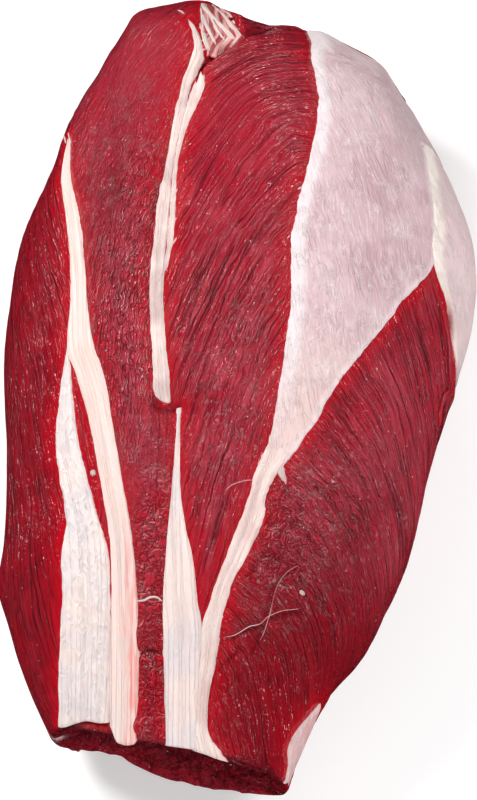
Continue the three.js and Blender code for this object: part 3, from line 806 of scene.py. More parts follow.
class MeatForm:
    """The whole block of meat as a grid of points with its maps and masks."""

    FACE_ROWS = 22
    LIP_ROWS = 4
    ROWS = 288
    TOP_COLUMNS = 236
    UNDER_COLUMNS = 58
    NEAR_REACH = 4.1  # how far the fresh red beside the tissues reaches

    def __init__(self, sizes):
        half = even_turns(self.TOP_COLUMNS + 1)
        low = np.linspace(0, 0.25, self.UNDER_COLUMNS // 2 + 1)
        self.turn = np.concatenate([low[:-1] - 0.25, half, 0.5 + low[1:]])
        lean = lean_of(self.turn)
        self.rows = rows = LIP_LENGTH + (1 - LIP_LENGTH) * even_stations(self.ROWS)
        body_along = lean[None, :] + (1 - lean[None, :]) * rows[:, None]
        body = skin(body_along, self.turn[None, :])

        rim = skin(lean, self.turn)
        middle = rim.mean(0)
        shares = np.linspace(0, 1, self.FACE_ROWS + 1)
        face = middle + (rim - middle) * (LIP_SHRINK * shares[:, None, None])
        face[..., 1] += HOLLOW(shares)[:, None] + self.cut_bumps(face) * ease(1 - shares, 0, 0.12)[:, None]
        turns = np.linspace(0, math.pi / 2, self.LIP_ROWS + 2)[1:-1]
        lip = [middle + (skin(lean + LIP_LENGTH * (1 - math.cos(t)), self.turn) - middle)
               * (LIP_SHRINK + (1 - LIP_SHRINK) * math.sin(t)) for t in turns]
        self.base = np.concatenate([face, np.array(lip), body])
        x, y, z = (self.base[..., k] for k in range(3))
        notch = 3.6 * np.exp(-(((x + 42) / 13) ** 2)) + 0.9 * speckle(x / 5, 0 * x, 21.0)
        self.base[..., 1] += ease(z, 16, 2) * ease(y, -92, -104) * notch
        self.first = self.FACE_ROWS + 1 + self.LIP_ROWS
        cut = [np.ones(self.FACE_ROWS + 1), np.linspace(0.8, 0.2, self.LIP_ROWS), np.zeros(self.ROWS)]
        self.cut = np.concatenate(cut)[:, None] + 0 * self.turn[None, :]

        along = np.concatenate([np.repeat(lean[None], self.first, 0), body_along])
        self.across, self.length = SPREAD.at(along, self.turn[None, :] + 0 * along)
        self.raise_fibres(sizes)

    @staticmethod
    def fold_line(points, depth, x):
        """The heights of a fold of the cut face."""
        return bend(points)(x) + 1.2 * speckle(x / 6, 0 * x, depth)

    def cut_bumps(self, face):
        """How far the folds and lumps of the cut face stand out of its hollow."""
        x, z = face[..., 0], face[..., 2]
        bumps = 1.6 * speckle(x / 8, z / 6, 1.0) + 0.7 * speckle(x / 3, z / 2.6, 2.0)
        for points, depth, width in CUT_FOLDS:
            line = self.fold_line(points, depth, x)
            bumps = bumps + depth * np.exp(-(((z - line) / width) ** 2))
            bumps = bumps - 0.6 * depth * np.exp(-(((z - line + 2.4 * width) / width) ** 2))
        return bumps

    def cut_shade(self):
        """The painted shade of the cut face, from -1 where the lower lip is painted lighter to 1 in a fold;
        it also darkens towards the top under the straps.
        """
        x, z = self.base[..., 0], self.base[..., 2]
        shade = 0.35 * ease(z, 15, 22) + 0 * x
        for points, depth, width in CUT_FOLDS:
            line = self.fold_line(points, depth, x)
            shade = shade + 0.9 * np.exp(-(((z - line) / width / 1.2) ** 2))
        lip = ease(bend(CUT_FOLDS[0][0])(x) - z, 2.0, 5.0)
        return np.clip(shade * (1 - lip) - lip, -1, 1) * (self.cut > 0.1)

    def square(self):
        """Unit vectors square to the grid."""
        down = np.gradient(self.base, axis=0)
        wide = np.concatenate([self.base[:, -2:-1], self.base, self.base[:, 1:2]], 1)
        side = (wide[:, 2:] - wide[:, :-2]) / 2
        square = unit(np.cross(down, side))
        square[0] = (0, -1, 0)
        return square

    def labels(self):
        """The muscle of each cell of the grid."""
        x, y = ((t[:-1, :-1] + t[1:, :-1] + t[:-1, 1:] + t[1:, 1:]) / 4
                for t in (self.base[..., 0], self.base[..., 1]))
        along = (y - NEAR(x)) / (FAR(x) - NEAR(x))
        which = muscle_at(x, y, along)[0]
        turn = (self.turn[1:] + self.turn[:-1])[None, :] / 2
        which = np.where(turn < 0, RIGHT_FLANK, np.where(turn > 0.5, LEFT_FLANK, which))
        which[: self.FACE_ROWS + 1] = CUT_FACE
        return which

    def raise_fibres(self, sizes):
        """Lifts the points by the fibres, wrinkles and creases, lays beds for the tissues, sets masks."""
        s, t = self.across, self.length
        gaps = [(depth_inside(s, t, loop), depth) for loop, depth in tissue_outlines()]
        bed = np.max([ease(gap, 0.35, 2.0) * depth for gap, depth in gaps], 0)
        near = np.max([gap for gap, _ in gaps], 0)
        self.near = np.exp(-((np.maximum(0, -near) / self.NEAR_REACH) ** 1.6))
        self.near = self.near * (1 - ease(self.cut, 0.3, 0.9))
        self.crease = np.zeros_like(s)
        sunk = np.zeros_like(s)
        for line, depth, width in CREASES:
            gap = far_from(s, t, *np.array(line, float).T)
            sunk = np.maximum(sunk, depth * np.exp(-((gap / width) ** 2)))
            # Painted shade along each crease, kept as a mask for the colour.
            dark = np.exp(-((gap / width / 0.9) ** 2)) * min(1, depth * 0.9)
            self.crease = np.maximum(self.crease, dark)
        lump = sum(tall * blob(s, t, *SPREAD.at(np.array(along), np.array(turn)), wide, long)
                   for along, turn, wide, long, tall in LUMPS)

        self.which = which = np.pad(self.labels(), ((0, 1), (0, 1)), mode="edge")
        self.flows = [fibres_at(name, s, t) for name in FIBRES]
        p, q = (np.choose(np.minimum(which, RIGHT_FLANK), [flow[k] for flow in self.flows])
                for k in (0, 1))
        self.crinkle = np.clip(spots("crinkle", s, t, which), 0, 1) * ease(t, -48, -30)
        self.wrinkle = np.clip(spots("wrinkle", s, t, which), 0, 1)
        strands = speckle(p / 3.0 + 0.3 * speckle(s / 9, t / 9, 5.0), q / 34, 1.0)
        fine = speckle(p / 1.9, q / 22, 7.0)
        wrinkle = 1 - np.abs(speckle(s / 2.4, t / 3.6, 3.0)) * 2
        lumps = speckle(s / 17, t / 26, 9.0)
        calm = (1 - 0.5 * self.crinkle) * (1 - 0.8 * self.wrinkle) * np.choose(which, [0.6, 0.9, 1, 1, 1])
        dried = self.wrinkle + 0.3 * self.crinkle
        height = sizes.fibre_height / MM * (strands + 0.4 * fine) * calm
        height = height + sizes.crinkle_height / MM * wrinkle * dried + 0.45 * lumps
        open_meat = 1 - ease(near, -0.5, 0.5)
        height = height * open_meat * (1 - self.cut)
        swell = 0.5 * np.exp(-(((-near - 2.6) / 2.0) ** 2)) * (1 - self.cut)
        swell = swell + (lump - sunk) * (1 - self.cut)
        flat_under = ease(self.base[..., 2], 0.3, 6.0)
        fade = 1 - 0.7 * ease(t, 150, 168)
        self.move = ((height + swell) * flat_under - bed * (1 - self.cut)) * fade
        self.points = self.base + self.square() * self.move[..., None]
        self.points[..., 2] = np.maximum(self.points[..., 2], 0)
        self.points[:, -1] = self.points[:, 0]

    def height_at(self, along, turn):
        """How far the finished meat stands over the plain skin."""
        lean = lean_of(turn)
        row = self.first + np.interp((along - lean) / (1 - lean), self.rows, np.arange(len(self.rows)))
        column = np.interp(turn, self.turn, np.arange(len(self.turn)))
        return sampled(self.move, row, column)

    def maps(self):
        """The fibres' map of each muscle and of the cut face, and which of them each cell reads."""
        cut = np.stack([self.base[..., 0], self.base[..., 2]], -1)
        tables = [np.stack(flow, -1) for flow in self.flows] + [cut]
        return {"fibres": (tables, self.labels())}

    def masks(self):
        """Soft masks of the parts that look different, each from 0 to 1."""
        s, t = self.across, self.length
        soft = {name: spots(name, s, t, self.which) for name in ("dusky", "deep", "rosy", "lively")}
        soft["deep"] = soft["deep"] + 0.8 * (self.which == LEFT_FLANK)
        soft["deep"] = soft["deep"] + (self.which == RIGHT_FLANK) * ease(-t, 50, 90)
        x, z = self.base[..., 0], self.base[..., 2]
        pale = sum(blob(x, z, *place) for place in PALE_SPOTS)
        shade = self.cut_shade()
        return {
            **{name: np.clip(mask, 0, 1) for name, mask in soft.items()},
            "crinkle": self.crinkle, "wrinkle": self.wrinkle, "near": self.near,
            "cut": self.cut, "crease": self.crease,
            # fold is painted shade in the folds and under the straps, lip is painted light on the lower lip.
            "fold": np.maximum(shade, 0), "lip": np.maximum(-shade, 0),
            "pale": np.clip(pale, 0, 1) * (self.cut > 0.1),
        }


MADE = {}


def meat_form(sizes):
    """The block's form, made once."""
    if "meat" not in MADE:
        MADE["meat"] = MeatForm(sizes)
    return MADE["meat"]


# Finishes


def light(code):
    """A colour's light values from its six-digit screen code."""
    parts = [int(code[k : k + 2], 16) / 255 for k in (0, 2, 4)]
    return tuple(c / 12.92 if c <= 0.04045 else ((c + 0.055) / 1.055) ** 2.4 for c in parts)


class Wire:
    """One value of a material, on which sums are written."""

    def __init__(self, finish, socket):
        self.finish, self.socket = finish, socket

    def sum(self, operation, *others, swap=False):
        values = [self, *others]
        if swap:
            values.reverse()
        return self.finish.node("ShaderNodeMath", {"operation": operation}, dict(enumerate(values)))

    def __add__(self, other):
        return self.sum("ADD", other)

    def __sub__(self, other):
        return self.sum("SUBTRACT", other)

    def __rsub__(self, other):
        return self.sum("SUBTRACT", other, swap=True)

    def __mul__(self, other):
        return self.sum("MULTIPLY", other)

    def high(self, other):
        return self.sum("MAXIMUM", other)

    def low(self, other):
        return self.sum("MINIMUM", other)

    def size(self):
        return self.sum("ABSOLUTE")

    def ease(self, low, high):
        """0 below low, 1 above high, and smooth between; high may be the lower one."""
        settings = {"interpolation_type": "SMOOTHSTEP"}
        values = {"Value": self, "From Min": low, "From Max": high}
        return self.finish.node("ShaderNodeMapRange", settings, values)

    __radd__ = __add__
    __rmul__ = __mul__


class Finish:
    """A material as it is wired up."""

    def __init__(self, name):
        self.material = bpy.data.materials.new(name)
        self.material.use_nodes = True
        self.tree = self.material.node_tree
        self.tree.nodes.clear()
        self.shader = self.tree.nodes.new("ShaderNodeBsdfPrincipled")
        output = self.tree.nodes.new("ShaderNodeOutputMaterial")
        self.tree.links.new(self.shader.outputs[0], output.inputs[0])

    def node(self, kind, settings=None, values=None, output=0):
        """A node's output, after its settings and the values or links of its sockets."""
        node = self.tree.nodes.new(kind)
        for key, value in (settings or {}).items():
            setattr(node, key, value)
        for key, value in (values or {}).items():
            self.feed(node.inputs[key], value)
        return Wire(self, node.outputs[output])

    def feed(self, socket, value):
        if isinstance(value, Wire):
            self.tree.links.new(value.socket, socket)
        elif isinstance(value, (int, float)):
            socket.default_value = value
        else:
            value = tuple(value)
            socket.default_value = value + (1.0,) * (len(socket.default_value) - len(value))

    def mask(self, name):
        return self.node("ShaderNodeAttribute", {"attribute_name": name}, output=2)

    def map(self, name):
        """The two values of a piece's own map, in millimetres."""
        uv = self.node("ShaderNodeUVMap", {"uv_map": name})
        return tuple(self.node("ShaderNodeSeparateXYZ", None, {0: uv}, k) for k in (0, 1))

    def place(self):
        """The object's own coordinates in millimetres."""
        co = self.node("ShaderNodeTexCoord", output=3)
        return self.node("ShaderNodeVectorMath", {"operation": "SCALE"}, {0: co, "Scale": 1 / MM})

    def vector(self, x, y=0.0, z=0.0):
        return self.node("ShaderNodeCombineXYZ", None, {0: x, 1: y, 2: z})

    def noise(self, vector, scale=1.0, detail=2.0, roughness=0.5, distortion=0.0):
        values = {"Vector": vector, "Scale": scale, "Detail": detail, "Roughness": roughness}
        return self.node("ShaderNodeTexNoise", None, {**values, "Distortion": distortion})

    def ridge(self, vector, scale=1.0, detail=2.0, sharp=4.0, distortion=0.0):
        """Thin lines, 1 on the line and 0 away from it."""
        away = (self.noise(vector, scale, detail, 0.5, distortion) - 0.5).size() * 2 * sharp
        return (1 - away).high(0.0)

    def cells(self, vector, scale=1.0, feature="F1"):
        """How far a place is from the middle of its cell."""
        settings = {"feature": feature}
        return self.node("ShaderNodeTexVoronoi", settings, {"Vector": vector, "Scale": scale})

    def cracks(self, vector):
        """How far a place is from the edge of its cell."""
        return self.cells(vector, 1.0, "DISTANCE_TO_EDGE")

    def mix(self, share, first, second):
        settings = {"data_type": "RGBA", "blend_type": "MIX", "clamp_factor": True}
        return self.node("ShaderNodeMix", settings, {0: share, 6: first, 7: second}, 2)

    def layers(self, colour, *layers):
        """A colour under layers, each given as its share and its colour."""
        for share, second in layers:
            colour = self.mix(share, colour, second)
        return colour

    def bump(self, height, distance, strength):
        values = {"Height": height, "Distance": distance, "Strength": strength}
        return self.node("ShaderNodeBump", None, values)

    def set(self, **sockets):
        for name, value in sockets.items():
            self.feed(self.shader.inputs[name.replace("_", " ")], value)
        return self.material


def wet(finish, radius, weight, scale):
    """The constants of moist flesh on the shader itself."""
    finish.set(Subsurface_Weight=weight, Subsurface_Scale=scale, IOR=1.42, Specular_IOR_Level=0.5)
    finish.shader.inputs["Subsurface Radius"].default_value = radius


def cut_flesh(f, place, colours):
    """The colour of the cut face, with painted shade in its folds, its lower lip painted lighter, and its
    pale spots.
    """
    # Painted shade in the folds of the cut face and along its ridges.
    folds = f.mask("fold") * 0.9 + f.ridge(place, 0.16, 2.0, 7.0, 0.8) * 0.7
    pale = f.mask("pale") * f.noise(place, 0.5, 2.0).ease(0.35, 0.5)
    return f.layers(
        colours.cut,
        (f.noise(place, 0.12, 3.0, 0.6).ease(0.42, 0.6), colours.deep),
        (f.mask("lip") * 0.8, colours.lean),
        (f.ridge(place, 0.3, 2.0, 6.0, 0.8) * 0.12, colours.film_and_sheen),
        (folds.low(1.0), colours.shaded_groove),
        (pale.low(1.0), colours.fibril_and_glint),
    )


def meat_finish(colours):
    """Lean meat, with its fibre lines, cracks and films, painted shade in its grooves, painted highlights,
    painted glints and painted glint specks; p and q are the fibres' map.
    """
    f = Finish("lean_meat")
    p, q = f.map("fibres")
    place = f.place()
    crinkle, wrinkle, cut, near = (f.mask(name) for name in ("crinkle", "wrinkle", "cut", "near"))
    dusky, lively, rosy, deep = (f.mask(name) for name in ("dusky", "lively", "rosy", "deep"))
    drift = f.noise(place, 0.3, 1.0) - 0.5
    p = p + (f.noise(place, 0.11, 2.0) - 0.5) * 1.5 + drift * (lively * 2.2 + 0.3)

    clouds = f.noise(place, 0.055, 3.0, 0.55)
    blotches = f.noise(place, 0.2, 3.0, 0.6)
    grain = f.noise(place, 1.6, 2.0, 0.6)
    beads = f.noise(place, 0.8, 1.0, 0.5)
    bundles = f.noise(f.vector(p * 0.42, q * 0.02, 2.0), 1.0, 1.0, 0.5)
    hairs = f.noise(f.vector(p * 2.3, q * 0.12, 5.0), 1.0, 1.0, 0.5)
    stretches = f.noise(f.vector(p * 0.12, q * 0.04, 41.0), 1.0, 1.0).ease(0.36, 0.6)
    creases = f.ridge(f.vector(p * 0.26, q * 0.016, 9.0), 1.0, 0.8, 14.0) * (stretches * 0.7 + 0.3)
    lit_crests = f.ridge(f.vector(p * 0.26 + 0.06, q * 0.016, 9.0), 1.0, 0.8, 16.0) * stretches
    cracks = f.ridge(f.vector(p * 0.7, q * 0.035, 13.0), 1.0, 0.6, 9.0)
    cracks = cracks * (blotches.ease(0.36, 0.6) * 0.6 + 0.4)
    films = f.ridge(f.vector(p * 0.7, q * 0.05, 17.0), 1.0, 1.0, 5.0)
    films = films * (clouds.ease(0.34, 0.6) * 0.6 + 0.4)
    glints = f.ridge(f.vector(p * 0.5, q * 0.12, 23.0), 1.0, 1.0, 22.0)
    glints = glints * f.noise(place, 0.5, 1.0).ease(0.51, 0.57)

    # The cracked crust of the crinkled part, and the worm-like folds of the wrinkled one, painted as relief:
    # painted shade in their gaps and a painted highlight on the lit side of each, the same pattern moved a
    # little.
    u, v = p * 1.05 + drift * 1.8, q * 0.2 + (blotches - 0.5) * 2.0
    gaps = f.cracks(f.vector(u, v, 3.0)).ease(0.1, 0.02)
    lit_crest = f.cracks(f.vector(u + 0.17, v - 0.04, 3.0)).ease(0.09, 0.02) * (1 - gaps) * crinkle
    beside = f.node("ShaderNodeVectorMath", {"operation": "ADD"}, {0: place, 1: (-0.25, 0.45, 0.0)})
    worms = f.ridge(place, 0.42, 1.0, 4.5, 1.2)
    lit_worm_crest = f.ridge(beside, 0.42, 1.0, 4.5, 1.2) * (1 - worms) * wrinkle

    softened = (near * 0.6).high(rosy * 0.7).high(deep * 0.5).high(dusky * 0.3)
    even = (1 - crinkle * 0.6) * (1 - wrinkle * 0.9) * (1 - softened) * (1 - cut)
    # Painted relief of the lively parts: troughs paint shade in the dips, and the moved copy paints a
    # highlight on their lit rims.
    u, v = p * 0.5 + drift * 1.4, q * 0.13 + drift * 0.6
    troughs = f.cracks(f.vector(u, v, 7.0)).ease(0.1, 0.0) * lively
    lit_brinks = f.cracks(f.vector(u + 0.1, v, 7.0)).ease(0.07, 0.0) * lively * (1 - troughs)

    # Painted shade: the grooves, cracks, troughs, gaps, worm folds and creases are darkened towards the
    # shaded-groove colour; the same sum also sinks the bump.
    shaded_groove = (creases * (1.1 - lively * 0.6) + cracks * 0.65 + troughs * 0.95) * even
    shaded_groove = shaded_groove + gaps * crinkle * 0.75 + worms * wrinkle * 0.8 + f.mask("crease") * 0.9
    film = (films * 0.6 + hairs.ease(0.54, 0.8) * 0.5) * (1 - deep * 0.7)
    # Painted highlights beside the fibre lines and on the lit sides of the cracks and folds, together with
    # the pale film.
    film_and_highlight = (lit_crests * (1 - creases) * 0.9 + film) * even.high(rosy * 0.5)
    film_and_highlight = film_and_highlight + lit_crest * 0.9 + lit_worm_crest + lit_brinks * even

    film_and_sheen_share = (0.62 - near * 0.4 - rosy * 0.15) * (1 - deep * 0.3)
    # Painted glints, in the fibril colour.
    sparkle = (glints * lively + lit_brinks * blotches.ease(0.48, 0.6) * 0.7) * even
    sparkle = sparkle + (lit_crest + lit_worm_crest) * blotches.ease(0.5, 0.6) * 0.6
    # Painted glint specks.
    specks = f.cells(place, 0.32).ease(0.1, 0.05) * f.noise(place, 0.12, 1.0).ease(0.5, 0.6)
    colour = f.layers(
        colours.lean,
        (rosy, colours.rosy),
        (dusky * clouds.ease(0.28, 0.6), colours.dusky),
        (deep * 0.9, colours.deep),
        (blotches.ease(0.6, 0.38) * 0.16, colours.bright),
        # Painted shade between the fibre bundles and painted sheen on their tops.
        (bundles.ease(0.46, 0.28) * even * 0.14, colours.shaded_groove),
        (bundles.ease(0.52, 0.72) * even * 0.1, colours.film_and_sheen),
        (near * (1 - dusky * 0.3) * 0.9, colours.bright),
        (film_and_highlight * film_and_sheen_share, colours.film_and_sheen),
        (shaded_groove.low(1.0) * (0.78 - near * 0.25), colours.shaded_groove),
        (sparkle.low(1.0) * 0.6, colours.fibril_and_glint),
        (cut * 0.95, cut_flesh(f, place, colours)),
        (specks * 0.6, colours.fibril_and_glint),
    )

    height = bundles * 0.4 * even + films * 0.2 - shaded_groove * 0.6 + beads * 0.3
    height = height + glints * lively * 0.3 + f.noise(place, 0.35, 3.0, 0.6) * cut * 2.6
    normal = f.bump(height, 1.4 * MM, 1.0)
    rough = 0.07 + grain * 0.12
    wet(f, (1.0, 0.25, 0.2), 0.06, 2 * MM)
    return f.set(Base_Color=colour, Roughness=rough, Normal=normal)


def strap_finish(name, colours, base, tint, streak=False, worms=0.3, rim=0.0, dark=False):
    """A tendon strap: long threads, with wet wrinkles as strong as worms says.

    rim is how far the meat tints its two rims, streak adds a bloody streak, and dark is for raw lips.
    """
    f = Finish(name)
    across, length = f.map("grain")
    place = f.place()
    threads = f.noise(f.vector(across * 1.5, length * 0.03), 1.0, 3.0, 0.6)
    cords = f.ridge(f.vector(across * 0.5, length * 0.012, 4.0), 1.0, 2.0, 11.0)
    ripple = f.ridge(f.vector(across * 0.5, length * 0.24, 6.0), 1.0, 1.0, 3.2, 0.7)
    clouds = f.noise(place, 0.07, 2.0, 0.5)
    colour = f.mix(clouds.ease(0.35, 0.65), base, tint)
    pale, shade = (colours.film_and_sheen, colours.shaded_groove) if dark else (colours.tendon_light, colours.tendon_shade)
    # The ripple layer paints light on the crests of the wet wrinkles, and the cords layer paints shade
    # between the cords.
    colour = f.layers(
        colour,
        (threads.ease(0.5, 0.8) * 0.4, pale),
        (ripple * worms * 0.35, pale),
        (cords * (0.4 - worms * 0.3), shade),
    )
    if rim:
        edge = (f.mask("across") - 0.5).size() * 2
        pink = edge.ease(0.82, 1.0) * rim, colours.tendon_pink
        colour = f.layers(colour, pink, (edge.ease(0.94, 1.0), colours.bright))
    if streak:
        stains = f.noise(f.vector(across * 0.35, length * 0.06, 8.0), 1.0, 2.0, 0.6).ease(0.42, 0.56)
        band = (f.mask("across") - 0.28 - clouds * 0.3).ease(0.0, 0.2) * f.mask("share").ease(0.4, 0.16)
        colour = f.mix(band * (stains * 0.75 + 0.2) * threads.ease(0.2, 0.55), colour, colours.tendon_pink)
    height = threads * 0.4 - cords * 0.35 + ripple * (0.12 + worms * 0.4) + f.noise(place, 1.2, 2.0) * 0.1
    normal = f.bump(height, 0.6 * MM, 0.9)
    wet(f, (1.0, 0.55, 0.45), 0.12, 2 * MM)
    return f.set(Base_Color=colour, Roughness=0.22 + threads * 0.18, Normal=normal)


def fan_finish(colours):
    """The torn end of the seam, where meat shows between the threads."""
    f = Finish("torn_seam")
    across, length = f.map("grain")
    gaps = f.noise(f.vector(across * 0.6, length * 0.05, 3.0), 1.0, 2.0, 0.6).ease(0.54, 0.42)
    threads = f.noise(f.vector(across * 1.6, length * 0.05), 1.0, 2.0, 0.6)
    colour = f.mix(threads.ease(0.42, 0.66), colours.tendon_pink, colours.tendon_rose)
    colour = f.mix(gaps * 0.9, colour, colours.rosy)
    normal = f.bump(threads - gaps, 0.6 * MM, 0.9)
    wet(f, (1.0, 0.4, 0.35), 0.1, 2 * MM)
    return f.set(Base_Color=colour, Roughness=0.24 + threads * 0.16, Normal=normal)


def sheet_finish(name, colours, thin, thick, edge, edge_width, start=None):
    """A sheet of tissue that shows the meat where it is thin, with a band of its own along its left edge.

    start is the colour of its first end, where it goes over into a strap.
    """
    f = Finish(name)
    across, length = f.map("grain")
    place = f.place()
    clouds = f.noise(place, 0.05, 3.0, 0.6)
    patches = f.noise(place, 0.17, 3.0, 0.6)
    u, v = across * 0.88 + length * 0.48, length * 0.88 - across * 0.48
    fibrils = f.ridge(f.vector(u * 0.55, v * 0.09, 2.0), 1.0, 2.0, 14.0, 0.6) * patches.ease(0.38, 0.52)
    curls = f.ridge(place, 0.34, 1.0, 14.0, 1.6) * patches.ease(0.45, 0.55)
    hairs = f.noise(f.vector(u * 1.5, v * 0.16), 1.0, 3.0, 0.6)
    veins = f.ridge(f.vector(u * 0.3, v * 0.06, 11.0), 1.0, 2.0, 9.0, 0.8) * clouds.ease(0.4, 0.55)
    left_rim = f.mask("from_left") + (patches - 0.5) * 2.5
    right_rim = f.mask("to_right") + (patches - 0.5) * 3
    reach = f.mask("share").ease(0.02, 0.25) if start else 1.0
    white = colours.silver_white
    colour = f.mix(f.mask("thin") * 0.75 + clouds.ease(0.42, 0.6) * 0.35, thick, thin)
    if start:
        colour = f.mix(f.mask("share").ease(0.42, 0.08), colour, start)
    colour = f.layers(
        colour,
        (patches.ease(0.52, 0.7) * 0.3, white),
        (hairs.ease(0.45, 0.72) * 0.5, white),
        (veins * 0.45, thin),
        ((fibrils * 0.62 + curls * 0.4).low(1.0), white),
        (left_rim.ease(edge_width * 1.5, edge_width * 0.8) * 0.9 * reach, edge),
        (right_rim.ease(3.5, 1.0) * 0.7, white),
        (f.mask("bloody"), colours.lean),
    )
    height = fibrils * 0.5 + curls * 0.35 + hairs * 0.7 - veins * 0.4 + patches * 0.4
    normal = f.bump(height, 0.5 * MM, 0.8)
    wet(f, (1.0, 0.5, 0.5), 0.12, 2 * MM)
    return f.set(Base_Color=colour, Roughness=0.3 + hairs * 0.16, Normal=normal)


def board_finish(colours):
    """The pale table, which glows a little so that it stays even."""
    f = Finish("pale_table")
    f.set(Emission_Color=(1, 1, 1), Emission_Strength=0.2)
    return f.set(Base_Color=colours.table, Roughness=0.7)


# Settings


def length_setting(name, text, value):
    return FloatProperty(name=name, description=text, default=value * MM, min=0, unit="LENGTH",
                         subtype="DISTANCE")


def colour_setting(name, text, code):
    return FloatVectorProperty(name=name, description=text, default=light(code), min=0, max=1, size=3,
                               subtype="COLOR")


class ShankSizes(bpy.types.PropertyGroup):
    """Sizes of the relief and of the tissues."""

    fibre_height: length_setting("Fibre height", "How far a bundle of muscle fibres stands up", 0.17)
    crinkle_height: length_setting("Crinkle height", "Height of the wrinkles of dried meat", 0.3)
    strap_rise: length_setting("Strap rise", "How far a tendon strap stands over the meat", 0.55)
    strap_depth: length_setting("Strap depth", "How far a tendon strap reaches below the skin", 1.2)
    sheet_rise: length_setting("Sheet rise", "How far silverskin stands over the meat", 0.35)
    sheet_depth: length_setting("Sheet depth", "How far silverskin reaches below the skin", 0.6)


class ShankColours(bpy.types.PropertyGroup):
    """Colours of the meat and the tissues."""

    lean: colour_setting("Lean", "Most of the lean meat", "941829")
    rosy: colour_setting("Rosy", "The lighter end of the upper muscle", "a02334")
    dusky: colour_setting("Dusky", "Dried, purple parts", "aa3544")
    deep: colour_setting("Deep", "Smooth dark red parts", "760915")
    bright: colour_setting("Bright", "Fresh red beside the tissues", "b20c1c")
    # Film colour, also used for painted highlights and sheen on the meat's fibre lines, cracks and folds.
    film_and_sheen: colour_setting("Haze", "The thin film on the fibres", "bc5c67")
    # Painted shade colour, laid into the grooves, creases, cracks and folds of the meat and between the
    # cords of the raw lips.
    shaded_groove: colour_setting("Groove", "Between the fibres", "4a0811")
    # Also the colour of the painted glints and glint specks on the meat.
    fibril_and_glint: colour_setting("Fibril", "Fine white threads and specks", "e8c0c0")
    cut: colour_setting("Cut", "The cut face", "7c101a")
    tendon: colour_setting("Tendon", "Ivory straps", "e8d2cc")
    tendon_cool: colour_setting("Cool tendon", "Blue-white parts of the straps", "d8cccd")
    tendon_light: colour_setting("Tendon light", "Bright threads in the straps", "f7f0ea")
    tendon_shade: colour_setting("Tendon shade", "Between the cords of a strap", "d6bcb4")
    tendon_pink: colour_setting("Tendon pink", "Bloody streaks", "e89a94")
    tendon_rose: colour_setting("Tendon rose", "Thin pink tendon", "d8bbb6")
    tendon_warm: colour_setting("Tendon warm", "The inner strap", "f1cfc6")
    cream: colour_setting("Cream", "The strip beside the silverskin", "f2e4dc")
    silver_edge: colour_setting("Silver edge", "The thick left edge of the silverskin", "e2d6d8")
    seam: colour_setting("Seam", "White tissue between the muscles", "c2a8a5")
    silver_lilac: colour_setting("Silver lilac", "Thin silverskin over dark meat", "b8959d")
    silver_pink: colour_setting("Silver pink", "Silverskin", "cfb2b6")
    silver_white: colour_setting("Silver white", "Thick silverskin and its fibrils", "e8d6d8")
    membrane: colour_setting("Membrane", "The sheet on the right flank", "dcc2c2")
    hock: colour_setting("Hock", "The scrap of membrane by the cut", "d4a2a2")
    table: colour_setting("Table", "The pale table", "f4f4f4")


class ShankStudio(bpy.types.PropertyGroup):
    """The camera and the lights."""

    distance: FloatProperty(
        name="Distance", description="From the camera to the middle of the shank", default=0.72,
        unit="LENGTH")
    aim_height: FloatProperty(
        name="Aim height", description="Height that the camera looks at", default=0.032, unit="LENGTH")
    elevation: FloatProperty(
        name="Elevation", description="Of the camera above the table", default=math.radians(70),
        subtype="ANGLE")
    lens: FloatProperty(name="Lens", description="Focal length in millimetres", default=100.0)
    key: FloatProperty(
        name="Key light", description="Power of the large light", default=8.0, unit="POWER")
    fill: FloatProperty(
        name="Fill light", description="Power of the side and front lights", default=4.8, unit="POWER")
    spark: FloatProperty(
        name="Small light", description="Power of the lights for wet highlights", default=3.2,
        unit="POWER")


class Shank(bpy.types.PropertyGroup):
    """Everything that a user would change."""

    sizes: PointerProperty(type=ShankSizes)
    colours: PointerProperty(type=ShankColours)
    studio: PointerProperty(type=ShankStudio)


# Makers. Each shape function of a strip gets the shares across and along it, its width, and x and y.


class SHANK_OT_meat(bpy.types.Operator):
    """Make the block of lean meat"""

    bl_idname = "shank.meat"
    bl_label = "Lean meat"

    def execute(self, context):
        shank = context.scene.shank
        form = meat_form(shank.sizes)
        piece = woven("shank_meat", form.points, form.maps(), form.masks(), close_far=True)
        dressed(piece, meat_finish(shank.colours), "lean_meat", "lean_meat")
        return {"FINISHED"}


def rounded(u, power=3.0):
    """A band's section: 1 in the middle and 0 at both edges, flatter with a higher power."""
    return 1 - np.abs(2 * u - 1) ** power


